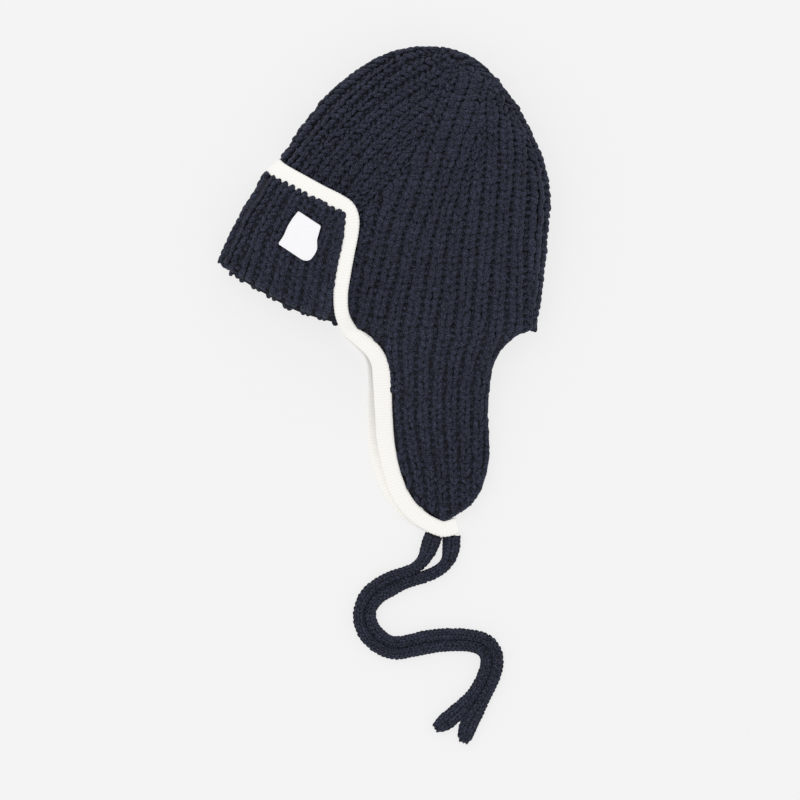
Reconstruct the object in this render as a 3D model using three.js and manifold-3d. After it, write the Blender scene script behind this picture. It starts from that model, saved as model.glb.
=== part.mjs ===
// Earflap beanie in chunky rib knit, lying on its right side: a hollow crown with two earflaps knitted on,
// a turned-up front flap, a pale band along the free edges, a small woven patch and two knitted ties.
// Millimetres. +X is towards the back of the head, +Y towards the top of the crown, +Z up from the floor.

import * as THREE from "three";
import { mergeVertices } from "three/addons/utils/BufferGeometryUtils.js";
import Module from "manifold-3d";

const wasm = await Module();
wasm.setup();

// Driving dimensions
const wall = 5; // the knit's thickness in the crown and the earflaps
const gap = 0.3; // between pieces that touch
const seat = 0.8; // from the crown's plain surface to what lies on it
const flapThick = 6; // the turned-up front flap
const bandWidth = 11.7;
const bandThick = 6;
const tieDiameter = 8;
const patchSize = { wide: 21.6, long: 28.7, thick: 1.2, corner: 4 };
const ribs = { perSide: 20, onEarflap: 6, onFrontFlap: 8, depth: 1.3 };
const floorLift = flapThick + seat; // the front flap's lower half lies under the crown
const nearLay = 11.8; // top of the upper earflap where it lies on the lower one

// The crown's rows, from the rim to the top: front and back points in plan, how far the row hangs below its
// chord, the height of the side folds, the top of the upper side and the underside.
const crownRows = [
  { up: 0, frontX: -119, frontY: 16, backX: 115, backY: -28, sag: 24, fold: 15, top: 36, low: 0 },
  { up: 0.15, frontX: -103, frontY: 51.5, backX: 120, backY: 7, sag: 25, fold: 16, top: 42, low: 0 },
  { up: 0.3, frontX: -85.5, frontY: 87, backX: 123.5, backY: 42, sag: 26, fold: 18, top: 47, low: 0 },
  { up: 0.45, frontX: -64, frontY: 120.6, backX: 124.7, backY: 78, sag: 28, fold: 19, top: 50, low: 0 },
  { up: 0.58, frontX: -42.8, frontY: 147.6, backX: 116.8, backY: 107, sag: 29, fold: 20, top: 50, low: 0 },
  { up: 0.7, frontX: -18, frontY: 168, backX: 105, backY: 132, sag: 28, fold: 20, top: 47, low: 0 },
  { up: 0.8, frontX: 4.8, frontY: 180, backX: 91.7, backY: 152, sag: 24, fold: 19, top: 42, low: 0 },
  { up: 0.88, frontX: 25, frontY: 184.4, backX: 79, backY: 166.5, sag: 17, fold: 18, top: 35, low: 1 },
  { up: 0.94, frontX: 41, frontY: 184.2, backX: 68.5, backY: 175.5, sag: 9, fold: 17, top: 28, low: 4 },
  { up: 0.98, frontX: 50.5, frontY: 183, backX: 61, backY: 179.5, sag: 2, fold: 16, top: 22, low: 9 },
];
const apex = { x: 55.5, y: 181.5, z: 16 };

// Soft dents in the crown's upper side: where, how wide and how deep.
const dents = [
  { x: 37, y: 148, reach: 20, depth: 4 },
  { x: 66, y: 88, reach: 26, depth: 2.5 },
  { x: 36, y: 54, reach: 28, depth: 3 },
  { x: 16, y: 0, reach: 26, depth: 2.5 },
];

// The earflap's rows below the rim: how far down, its front and back edges, and how far the lower earflap
// stands out in front of the upper one.
const earflapRows = [
  { down: 0, frontX: -27, frontY: -24, backX: 112, backY: -28, sag: 5, ahead: 0 },
  { down: 7, frontX: -18, frontY: -29, backX: 103, backY: -31, sag: 4, ahead: 0.5 },
  { down: 13, frontX: -10, frontY: -34, backX: 96, backY: -36, sag: 3, ahead: 1 },
  { down: 21, frontX: -3, frontY: -41, backX: 89, backY: -43, sag: 2, ahead: 2 },
  { down: 31, frontX: 2, frontY: -51, backX: 83, backY: -53, sag: 1, ahead: 3.5 },
  { down: 44, frontX: 4, frontY: -65, backX: 80, backY: -67, sag: 0, ahead: 4.5 },
  { down: 69, frontX: 5, frontY: -92, backX: 78, backY: -91, sag: 0, ahead: 6 },
  { down: 90, frontX: 8, frontY: -112, backX: 79, backY: -112, sag: 0, ahead: 7.5 },
  { down: 105, frontX: 11, frontY: -127, backX: 79, backY: -127, sag: 1, ahead: 6 },
  { down: 118, frontX: 15, frontY: -140, backX: 76, backY: -141, sag: 2, ahead: 4 },
  { down: 129, frontX: 20, frontY: -151, backX: 72, backY: -152, sag: 3, ahead: 2.5 },
  { down: 138, frontX: 27, frontY: -160, backX: 65, backY: -161, sag: 4, ahead: 1 },
  { down: 144, frontX: 34, frontY: -166, backX: 57, backY: -167, sag: 4, ahead: 0 },
  { down: 149, frontX: 41, frontY: -171, backX: 50, backY: -171, sag: 2.5, ahead: 0 },
];

// The band's centreline in plan: round the earflap's tip, up its front edge, then round the front flap's
// free edge to the front fold.
const bandTip = [
  { x: 56, y: -177, ahead: 0 },
  { x: 45, y: -179.5, ahead: 0 },
  { x: 34, y: -175, ahead: 0 },
  { x: 23, y: -166.5, ahead: 1 },
  { x: 15, y: -155, ahead: 2.5 },
  { x: 8.5, y: -139, ahead: 4.5 },
  { x: 2.5, y: -116, ahead: 7 },
  { x: 0, y: -94, ahead: 6 },
  { x: -1, y: -68, ahead: 4.5 },
  { x: -3, y: -54, ahead: 3.5 },
  { x: -8, y: -45, ahead: 2 },
  { x: -16, y: -37.5, ahead: 1 },
  { x: -25, y: -30, ahead: 0.5 },
];
const bandFlap = [
  { x: -31, y: -18 },
  { x: -32, y: -3 },
  { x: -30, y: 12 },
  { x: -27, y: 28 },
  { x: -24, y: 44 },
  { x: -24, y: 54 },
  { x: -27, y: 61 },
  { x: -34, y: 66 },
  { x: -46, y: 72 },
  { x: -59, y: 79 },
];
const bandFoldUp = 0.335; // the crown row that the band crosses at the front fold

// The patch's corner nearest the top of the crown, and the direction of its top edge, in plan.
const patchCorner = { x: -65, y: 61 };
const patchAlong = new THREE.Vector2(18, -12).normalize();

// The ties' centrelines in plan, laid out by hand in one S side by side.
const tieLeftRoute = [
  { x: 38, y: -184.5, z: 8.6 },
  { x: 34, y: -191, z: 6.2 },
  { x: 28, y: -201, z: 4.3 },
  { x: 21, y: -208 },
  { x: 13.5, y: -213.2 },
  { x: 1, y: -218.5 },
  { x: -12, y: -228 },
  { x: -18, y: -240 },
  { x: -18, y: -251 },
  { x: -13.5, y: -261.5 },
  { x: -4, y: -270 },
  { x: 8, y: -274.5 },
  { x: 22, y: -272.5 },
  { x: 37, y: -269.5 },
  { x: 53, y: -268 },
  { x: 66, y: -268.7 },
  { x: 74.5, y: -272.5 },
  { x: 77.5, y: -279.5 },
  { x: 75.5, y: -290 },
  { x: 69, y: -302 },
  { x: 59, y: -312 },
  { x: 40, y: -329.5 },
];
const tieRightRoute = [
  { x: 52, y: -185, z: 4.3 },
  { x: 51.7, y: -193 },
  { x: 49.5, y: -201.5 },
  { x: 43, y: -209.5 },
  { x: 33.5, y: -215.5 },
  { x: 21.3, y: -220.8 },
  { x: 9.8, y: -226 },
  { x: -2, y: -232.5 },
  { x: -9.2, y: -241 },
  { x: -8.8, y: -250.5 },
  { x: -3, y: -259 },
  { x: 5.5, y: -265 },
  { x: 16, y: -264.8 },
  { x: 30, y: -261 },
  { x: 47, y: -259.2 },
  { x: 65, y: -259.7 },
  { x: 77.5, y: -262.8 },
  { x: 84.7, y: -269.5 },
  { x: 87.2, y: -279.5 },
  { x: 85.2, y: -290 },
  { x: 80, y: -301.5 },
  { x: 74, y: -313 },
  { x: 67.5, y: -323 },
  { x: 61, y: -338 },
];

// Colours of the yarns
const darkYarn = 0x2a2d38;
const paleYarn = 0xf5f2e9;
const patchWeave = 0xf2f1f4;

const smooth = (low, high, value) => THREE.MathUtils.smoothstep(value, low, high);

// A row of the table at any place between its rows, every column on a smooth curve.
function rowAt(rows, key, place) {
  let i = 1;
  while (i < rows.length - 2 && rows[i + 1][key] <= place) i += 1;
  if (place < rows[1][key]) i = 0;
  const near = (k) => rows[Math.min(Math.max(k, 0), rows.length - 1)];
  const t = (place - rows[i][key]) / (near(i + 1)[key] - rows[i][key]);
  const row = {};
  for (const column of Object.keys(rows[0])) {
    const [a, b, c, d] = [near(i - 1)[column], near(i)[column], near(i + 1)[column], near(i + 2)[column]];
    const spanBack = near(i + 1)[key] - near(i - 1)[key];
    const spanAhead = near(i + 2)[key] - near(i)[key];
    const span = near(i + 1)[key] - near(i)[key];
    const slopeStart = ((c - a) / spanBack) * span;
    const slopeEnd = ((d - b) / spanAhead) * span;
    row[column] =
      b * (2 * t ** 3 - 3 * t ** 2 + 1) +
      slopeStart * (t ** 3 - 2 * t ** 2 + t) +
      c * (3 * t ** 2 - 2 * t ** 3) +
      slopeEnd * (t ** 3 - t ** 2);
  }
  return row;
}

// Half of the crown's cross-section by equal steps along the knit, from the front fold to the back one: how
// far across (0 to 1) and how full (0 at the folds, 1 in the middle).
const sectionSteps = 240;
const section = (() => {
  const across = [];
  const full = [];
  const along = [0];
  const [reach, rise, roundness] = [225, 26, 2.8];
  for (let i = 0; i <= sectionSteps; i += 1) {
    const angle = (Math.PI * i) / sectionSteps;
    across.push(0.5 - 0.5 * Math.sign(Math.cos(angle)) * Math.abs(Math.cos(angle)) ** (2 / roundness));
    full.push(Math.abs(Math.sin(angle)) ** (2 / roundness));
    if (i > 0) {
      const step = Math.hypot((across[i] - across[i - 1]) * reach, (full[i] - full[i - 1]) * rise);
      along.push(along[i - 1] + step);
    }
  }
  return { across, full, along: along.map((length) => length / along[sectionSteps]) };
})();

function sectionAt(s) {
  let i = 1;
  while (i < sectionSteps && section.along[i] < s) i += 1;
  const t = (s - section.along[i - 1]) / (section.along[i] - section.along[i - 1]);
  return {
    across: THREE.MathUtils.lerp(section.across[i - 1], section.across[i], t),
    full: THREE.MathUtils.lerp(section.full[i - 1], section.full[i], t),
  };
}

// A point of the crown's plain outer surface. side is 1 above and -1 below, s runs from the front fold to the
// back one, and up from the rim to the top.
function crownPoint(side, s, up) {
  const row = rowAt(crownRows, "up", up);
  const { across, full } = sectionAt(THREE.MathUtils.clamp(Math.abs(s), 0, 1));
  const turned = s < 0 ? -side : side; // past the front fold the surface goes on on the other side
  const hang = Math.sin(Math.PI * across ** 0.75) * row.sag;
  const x = THREE.MathUtils.lerp(row.frontX, row.backX, across);
  const y = THREE.MathUtils.lerp(row.frontY, row.backY, across) - hang;
  if (turned > 0) {
    let z = row.fold + (row.top - row.fold) * full;
    for (const dent of dents) {
      z -= dent.depth * full * Math.exp(-((x - dent.x) ** 2 + (y - dent.y) ** 2) / dent.reach ** 2);
    }
    return new THREE.Vector3(x, y, z);
  }
  const lift = floorLift * (1 - smooth(0.44, 0.62, across)) * (1 - smooth(0.38, 0.56, up));
  const below = row.fold - (row.fold - row.low + 1.5) * full ** 0.7;
  return new THREE.Vector3(x, y, Math.max(lift, row.low, below));
}

function crownNormal(side, s, up) {
  const d = 0.004;
  const back = Math.max(s - d, -1);
  const along = crownPoint(side, Math.min(s + d, 1), up).sub(crownPoint(side, back, up));
  const upward = crownPoint(side, s, Math.min(up + d, 1)).sub(crownPoint(side, s, Math.max(up - d, 0)));
  return along.cross(upward).multiplyScalar(side).normalize();
}

function crownOffset(side, s, up, distance) {
  return crownPoint(side, s, up).addScaledVector(crownNormal(side, s, up), distance);
}

// The place on the crown's upper side that is under a point of the plan, at a height over the knit.
function overCrown(x, y, distance) {
  let s = 0.25;
  let up = 0.2;
  const d = 0.002;
  for (let i = 0; i < 25; i += 1) {
    const here = crownOffset(1, s, up, distance);
    const bySide = crownOffset(1, s + d, up, distance).sub(here).divideScalar(d);
    const byUp = crownOffset(1, s, up + d, distance).sub(here).divideScalar(d);
    const [missX, missY] = [x - here.x, y - here.y];
    const area = bySide.x * byUp.y - bySide.y * byUp.x;
    s = THREE.MathUtils.clamp(s + (missX * byUp.y - missY * byUp.x) / area, 0.01, 0.99);
    up = THREE.MathUtils.clamp(up + (bySide.x * missY - bySide.y * missX) / area, 0, 0.9);
  }
  return { point: crownOffset(1, s, up, distance), normal: crownNormal(1, s, up) };
}

// A geometry from points and triangles, its shared corners merged.
function surface(points, triangles) {
  const geometry = new THREE.BufferGeometry();
  geometry.setAttribute("position", new THREE.Float32BufferAttribute(points.flatMap((p) => [p.x, p.y, p.z]), 3));
  geometry.setIndex(triangles.flat());
  return mergeVertices(geometry, 1e-4);
}

function toSolid(geometry) {
  return new wasm.Manifold(
    new wasm.Mesh({
      numProp: 3,
      vertProperties: geometry.attributes.position.array,
      triVerts: new Uint32Array(geometry.index.array),
    }),
  );
}

function fromSolid(solid) {
  const mesh = solid.getMesh();
  const geometry = new THREE.BufferGeometry();
  geometry.setAttribute("position", new THREE.BufferAttribute(new Float32Array(mesh.vertProperties), 3));
  geometry.setIndex(new THREE.BufferAttribute(new Uint32Array(mesh.triVerts), 1));
  return geometry;
}

function largestBody(solid) {
  return solid.decompose().reduce((a, b) => (a.volume() > b.volume() ? a : b));
}

// Quads between two lines of point numbers, facing to the left of the first line.
function strip(first, second) {
  const faces = [];
  for (let i = 0; i + 1 < first.length; i += 1) {
    faces.push([first[i], first[i + 1], second[i + 1]], [first[i], second[i + 1], second[i]]);
  }
  return faces;
}

// A closed slab between two grids of points of the same size, outer above inner.
function slab(outer, inner) {
  const points = [...outer.flat(), ...inner.flat()];
  const rows = outer.length;
  const columns = outer[0].length;
  const at = (layer, i, j) => layer * rows * columns + i * columns + j;
  const row = (layer, i) => outer[0].map((_, j) => at(layer, i, j));
  const column = (layer, j) => outer.map((_, i) => at(layer, i, j));
  const faces = [];
  for (let i = 0; i + 1 < rows; i += 1) {
    faces.push(...strip(row(0, i), row(0, i + 1)));
    faces.push(...strip(row(1, i + 1), row(1, i)));
  }
  faces.push(...strip(row(1, 0), row(0, 0)));
  faces.push(...strip(row(0, rows - 1), row(1, rows - 1)));
  faces.push(...strip(column(0, 0), column(1, 0)));
  faces.push(...strip(column(1, columns - 1), column(0, columns - 1)));
  return surface(points, faces);
}

const turnedOut = (geometry) => {
  const index = geometry.index.array;
  for (let i = 0; i < index.length; i += 3) [index[i + 1], index[i + 2]] = [index[i + 2], index[i + 1]];
  return geometry;
};
const facingOut = (geometry) => {
  const solid = toSolid(geometry);
  return solid.volume() > 0 ? solid : toSolid(turnedOut(geometry));
};

// Ribs stand out by their depth, ridge and furrow in turn, and are pressed flat where the knit rests.
const ribRise = (step) => (step % 2 === 0 ? 0 : -ribs.depth);

function crownShell() {
  const half = ribs.perSide * 2;
  const ring = (up, inner) => {
    const line = [];
    for (const side of [1, -1]) {
      for (let j = 0; j < half; j += 1) {
        const s = side > 0 ? j / half : 1 - j / half;
        const resting = side < 0 && crownNormal(side, s, up).z < -0.999;
        const fade = 1 - smooth(0.8, 0.97, up);
        const distance = inner ? -wall : resting ? 0 : ribRise(j) * fade;
        line.push(crownOffset(side, s, up, distance));
      }
    }
    return line;
  };
  const outerUps = [0, 0.08, 0.17, 0.26, 0.35, 0.45, 0.55, 0.64, 0.73, 0.81, 0.88, 0.93, 0.965];
  const innerUps = [0, 0.17, 0.35, 0.55, 0.73, 0.84];
  const outer = outerUps.map((up) => ring(up, false));
  const inner = innerUps.map((up) => ring(up, true));
  const points = [...outer.flat(), ...inner.flat()];
  const count = outer[0].length;
  const loop = (start) => Array.from({ length: count + 1 }, (_, j) => start + (j % count));
  const outerLoops = outer.map((_, i) => loop(i * count));
  const innerLoops = inner.map((_, i) => loop((outer.length + i) * count));
  const faces = [];
  for (let i = 0; i + 1 < outer.length; i += 1) faces.push(...strip(outerLoops[i], outerLoops[i + 1]));
  for (let i = 0; i + 1 < inner.length; i += 1) faces.push(...strip(innerLoops[i + 1], innerLoops[i]));
  faces.push(...strip(innerLoops[0], outerLoops[0]));
  const close = (line, top, outward) => {
    points.push(top);
    for (let j = 0; j < count; j += 1) {
      const pair = outward ? [line[j], line[j + 1]] : [line[j + 1], line[j]];
      faces.push([...pair, points.length - 1]);
    }
  };
  close(outerLoops.at(-1), new THREE.Vector3(apex.x, apex.y, apex.z), true);
  const innerTop = inner.at(-1).reduce((sum, p) => sum.add(p), new THREE.Vector3()).divideScalar(count);
  close(innerLoops.at(-1), innerTop, false);
  return facingOut(surface(points, faces));
}

// A point of an earflap: across runs from its front edge to its back edge, down is the distance below the rim.
function earflapPoint(side, across, down) {
  const row = rowAt(earflapRows, "down", Math.max(down, 0));
  const s = THREE.MathUtils.lerp(0.4, 0.955, across);
  const rim = crownPoint(side, s, 0);
  const x = THREE.MathUtils.lerp(row.frontX, row.backX, across) - (side < 0 ? row.ahead : 0);
  const hang = row.sag * 4 * across * (1 - across);
  const y = THREE.MathUtils.lerp(row.frontY, row.backY, across) - hang;
  const settle = side > 0 ? smooth(0, 112, down) : smooth(0, 42, down);
  const z = THREE.MathUtils.lerp(rim.z, side > 0 ? nearLay : 0, settle);
  return new THREE.Vector3(x, y, z);
}

function earflap(side) {
  const downs = [0, 7, 14, 22, 32, 46, 62, 80, 98, 112, 124, 134, 142, 149];
  const columns = ribs.onEarflap * 2;
  const outer = [];
  const inner = [];
  // The first row is sunk in the crown's wall, where the earflap is knitted on.
  const rootUp = 0.045;
  const root = (depth) =>
    Array.from({ length: columns + 1 }, (_, j) =>
      crownOffset(side, THREE.MathUtils.lerp(0.41, 0.95, j / columns), rootUp, -depth),
    );
  outer.push(root(1.6));
  inner.push(root(wall - 0.6));
  for (const down of downs) {
    const line = (depth) =>
      Array.from({ length: columns + 1 }, (_, j) => {
        const p = earflapPoint(side, j / columns, down);
        p.z -= side * depth(j);
        return p;
      });
    const sunk = down === 0 ? 0.6 : 0;
    outer.push(line((j) => (side > 0 ? -ribRise(j) : 0) + sunk));
    inner.push(line(() => wall - sunk));
  }
  return facingOut(slab(outer, inner));
}

// The band: a flat padded strip swept along its line, its broad side on the knit. fuller widens it all round.
function bandSolid(fuller) {
  const stations = [];
  const add = (point, normal) => stations.push({ point, normal: normal.clone().normalize() });
  const up = new THREE.Vector3(0, 0, 1);
  const nearEdge = (place) => {
    const nearest = earflapRows.reduce((a, b) =>
      Math.hypot(a.frontX - place.x, a.frontY - place.y) < Math.hypot(b.frontX - place.x, b.frontY - place.y)
        ? a
        : b,
    );
    return earflapPoint(1, 0, nearest.down).z - wall / 2;
  };
  const half = bandThick / 2;
  for (const place of bandTip) add(new THREE.Vector3(place.x, place.y, nearEdge(place)), up);
  for (const place of bandFlap) {
    const { point, normal } = overCrown(place.x, place.y, seat + half);
    add(point, normal);
  }
  for (const s of [0.055, 0.02, 0, -0.02, -0.055]) {
    const normal = s < 0 ? crownNormal(-1, -s, bandFoldUp) : crownNormal(1, s, bandFoldUp);
    add(crownPoint(1, s, bandFoldUp).addScaledVector(normal, seat + half), normal);
  }
  const under = up.clone().negate();
  for (const place of [...bandFlap].reverse()) add(new THREE.Vector3(place.x, place.y, half), under);
  for (const place of [...bandTip].reverse()) add(new THREE.Vector3(place.x - place.ahead, place.y, half), under);

  const line = new THREE.CatmullRomCurve3(stations.map((station) => station.point), false, "centripetal");
  const normals = new THREE.CatmullRomCurve3(stations.map((station) => station.normal), false, "centripetal");
  const steps = (stations.length - 1) * 2;
  const sides = 10;
  const rings = [];
  for (let i = 0; i <= steps; i += 1) {
    const t = i / steps;
    const centre = line.getPoint(t);
    const tangent = line.getTangent(t);
    const broad = new THREE.Vector3().crossVectors(normals.getPoint(t), tangent).normalize();
    const thick = new THREE.Vector3().crossVectors(tangent, broad).normalize();
    const end = i === 0 ? -fuller : i === steps ? fuller : 0;
    rings.push(
      Array.from({ length: sides }, (_, k) => {
        const angle = (2 * Math.PI * (k + 0.5)) / sides;
        const round = (value) => Math.sign(value) * Math.abs(value) ** (2 / 2.6);
        const p = centre
          .clone()
          .addScaledVector(tangent, end)
          .addScaledVector(broad, round(Math.cos(angle)) * (bandWidth / 2 + fuller))
          .addScaledVector(thick, round(Math.sin(angle)) * (half + fuller));
        p.z = Math.max(p.z, -fuller); // pressed flat on the floor
        return p;
      }),
    );
  }
  const points = rings.flat();
  const faces = [];
  const loop = (i) => Array.from({ length: sides + 1 }, (_, k) => i * sides + (k % sides));
  for (let i = 0; i < steps; i += 1) faces.push(...strip(loop(i), loop(i + 1)));
  for (let k = 1; k + 1 < sides; k += 1) {
    faces.push([0, k + 1, k]);
    faces.push([steps * sides, steps * sides + k, steps * sides + k + 1]);
  }
  return facingOut(surface(points, faces));
}

// The turned-up front flap hugs the crown from one side edge round the front fold to the other.
function frontFlap() {
  const columns = ribs.onFrontFlap * 4;
  const ups = [0, 0.035, 0.08, 0.14, 0.2, 0.26, 0.31, 0.345];
  const edge = (up) => 0.372 - 0.25 * up; // where its side edges lie, as a share of the crown's width
  const grid = (distance) =>
    ups.map((up, i) =>
      Array.from({ length: columns + 1 }, (_, j) => {
        const s = edge(up) * (1 - (2 * j) / columns);
        const outside = distance > seat;
        const rib = outside && s > 0 ? ribRise(j) : 0;
        const rolled = outside && i === 0 ? -1.5 : 0; // the bottom fold is rounded
        return s >= 0
          ? crownOffset(1, s, up, distance + rib + rolled)
          : crownOffset(-1, -s, up, distance + rolled);
      }),
    );
  return facingOut(slab(grid(seat + flapThick), grid(seat)));
}

// The woven patch, a rounded rectangle lying on the front flap.
function patch() {
  const rise = seat + flapThick + gap;
  const down = new THREE.Vector2(patchAlong.y, -patchAlong.x);
  const at = (a, b, distance) => {
    // Each end row is shorter, so that the corners are rounded.
    const inset = b < 0.01 || b > 0.99 ? patchSize.corner : 0;
    const along = THREE.MathUtils.lerp(inset, patchSize.wide - inset, a);
    const x = patchCorner.x + patchAlong.x * along + down.x * patchSize.long * b;
    const y = patchCorner.y + patchAlong.y * along + down.y * patchSize.long * b;
    return overCrown(x, y, distance).point;
  };
  const rows = [0, patchSize.corner / patchSize.long, 0.5, 1 - patchSize.corner / patchSize.long, 1];
  const columns = [0, 0.33, 0.67, 1];
  const grid = (distance) => rows.map((b) => columns.map((a) => at(a, b, distance)));
  return facingOut(slab(grid(rise + patchSize.thick), grid(rise)));
}

// A tie: a round knitted cord lying on the floor, its first points coming down from the earflap's tip.
function tie(route) {
  const points = route.map((place) => new THREE.Vector3(place.x, place.y, place.z ?? tieDiameter / 2 + 0.1));
  const line = new THREE.CatmullRomCurve3(points, false, "centripetal");
  const circle = new THREE.Shape();
  const sides = 10;
  for (let k = 0; k < sides; k += 1) {
    const angle = (2 * Math.PI * (k + 0.5)) / sides;
    const corner = [(Math.cos(angle) * tieDiameter) / 2, (Math.sin(angle) * tieDiameter) / 2];
    if (k === 0) circle.moveTo(...corner);
    else circle.lineTo(...corner);
  }
  circle.closePath();
  const steps = Math.round(line.getLength() / (tieDiameter * 2));
  const geometry = new THREE.ExtrudeGeometry(circle, { steps, extrudePath: line, curveSegments: 1 });
  geometry.deleteAttribute("normal");
  geometry.deleteAttribute("uv");
  return facingOut(mergeVertices(geometry, 1e-4));
}

const band = bandSolid(0);
const bandRoom = bandSolid(gap);
const crown = largestBody(crownShell().add(earflap(1)).add(earflap(-1)).subtract(bandRoom));
const flap = largestBody(frontFlap().subtract(bandRoom));

const hat = new THREE.Group();
const pieces = [
  { name: "crown", solid: crown, colour: darkYarn, roughness: 0.95 },
  { name: "front_flap", solid: flap, colour: darkYarn, roughness: 0.95 },
  { name: "edge_band", solid: band, colour: paleYarn, roughness: 0.9 },
  { name: "label_patch", solid: patch(), colour: patchWeave, roughness: 0.8 },
  { name: "tie_left", solid: tie(tieLeftRoute), colour: darkYarn, roughness: 0.95 },
  { name: "tie_right", solid: tie(tieRightRoute), colour: darkYarn, roughness: 0.95 },
];
for (const { name, solid, colour, roughness } of pieces) {
  const material = new THREE.MeshStandardMaterial({ color: colour, roughness, metalness: 0 });
  const mesh = new THREE.Mesh(fromSolid(solid), material);
  mesh.name = name;
  hat.add(mesh);
}

export default hat;
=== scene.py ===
# Earflap beanie in chunky rib knit, laid flat on its right side. Every stitch is geometry: two plump yarn
# legs for each stitch of a rib, laid along the ribs over a thin ground in painted shade, from the rim to the
# top.
import math

import bpy
import numpy as np
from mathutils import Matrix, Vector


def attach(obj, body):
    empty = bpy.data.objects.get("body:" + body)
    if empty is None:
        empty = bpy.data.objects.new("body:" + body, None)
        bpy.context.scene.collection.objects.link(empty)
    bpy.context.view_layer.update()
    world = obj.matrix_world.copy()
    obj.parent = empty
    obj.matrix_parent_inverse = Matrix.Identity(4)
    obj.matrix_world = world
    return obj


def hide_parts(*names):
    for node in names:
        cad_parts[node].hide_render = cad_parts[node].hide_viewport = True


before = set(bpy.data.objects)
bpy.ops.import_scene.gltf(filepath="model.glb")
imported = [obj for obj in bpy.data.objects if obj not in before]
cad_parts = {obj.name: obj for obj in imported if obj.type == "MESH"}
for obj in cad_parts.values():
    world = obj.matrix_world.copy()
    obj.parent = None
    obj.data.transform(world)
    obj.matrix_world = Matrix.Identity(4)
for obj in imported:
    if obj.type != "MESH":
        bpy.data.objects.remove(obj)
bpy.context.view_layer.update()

mm = 0.001
rng = np.random.default_rng(7)


def linear(hexColour):  # sRGB hex to the linear colour that the shaders want
    channels = [int(hexColour[i:i + 2], 16) / 255 for i in (1, 3, 5)]
    return tuple(c / 12.92 if c <= 0.04045 else ((c + 0.055) / 1.055) ** 2.4 for c in channels) + (1.0,)


# Camera, straight above the hat: "covers" is the width that it sees at the distance "focus"; mm

cameraSetup = {"x": 12.4, "y": -82.0, "height": 3020.0, "focus": 3000.0, "covers": 604.0, "sensor": 36.0}

cameraData = bpy.data.cameras.new("camera")
cameraData.sensor_width = cameraSetup["sensor"]
cameraData.lens = cameraSetup["sensor"] * cameraSetup["focus"] / cameraSetup["covers"]
cameraData.clip_start, cameraData.clip_end = 0.1, 20
camera = bpy.data.objects.new("camera", cameraData)
camera.location = (cameraSetup["x"] * mm, cameraSetup["y"] * mm, cameraSetup["height"] * mm)
bpy.context.collection.objects.link(camera)
bpy.context.scene.camera = camera


# Materials

def addNode(tree, kind, inputs=None, **settings):  # a node with its settings; an input is a value or a socket
    node = tree.nodes.new(kind)
    for name, value in settings.items():
        setattr(node, name, value)
    for name, value in (inputs or {}).items():
        if isinstance(value, bpy.types.NodeSocket):
            tree.links.new(value, node.inputs[name])
        else:
            node.inputs[name].default_value = value
    return node


def newMaterial(name):
    material = bpy.data.materials.new(name)
    material.use_nodes = True
    material.node_tree.nodes.clear()
    return material, material.node_tree


yarnLook = {
    "groundShadeHex": "#11121a",  # painted shade, deep between the ribs and on the ground under the stitches
    "legHex": "#1c202d",
    # painted light on the top of every leg
    "litCrestHex": "#292d3d",
    "heatherHex": "#454958",  # single pale fibres in the blend
    "sheenHex": "#aab2c8",
    "roughness": 0.88,
    "ior": 1.54,  # wool
    "sheen": 0.16,
    "plyGap": 1.5,  # mm between the plies' grooves, coarser than the real 1 mm so that they show
    "fibre": 0.45,  # mm
    "fleck": 1.35,  # mm, three fibres together
    "tuft": 0.9,  # mm, tufts of brushed fibres, drawn coarser than the fibres
    "tuftContrast": 1.0,
    "wear": 35.7,  # mm, wide soft patches where it is worn
}


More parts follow.
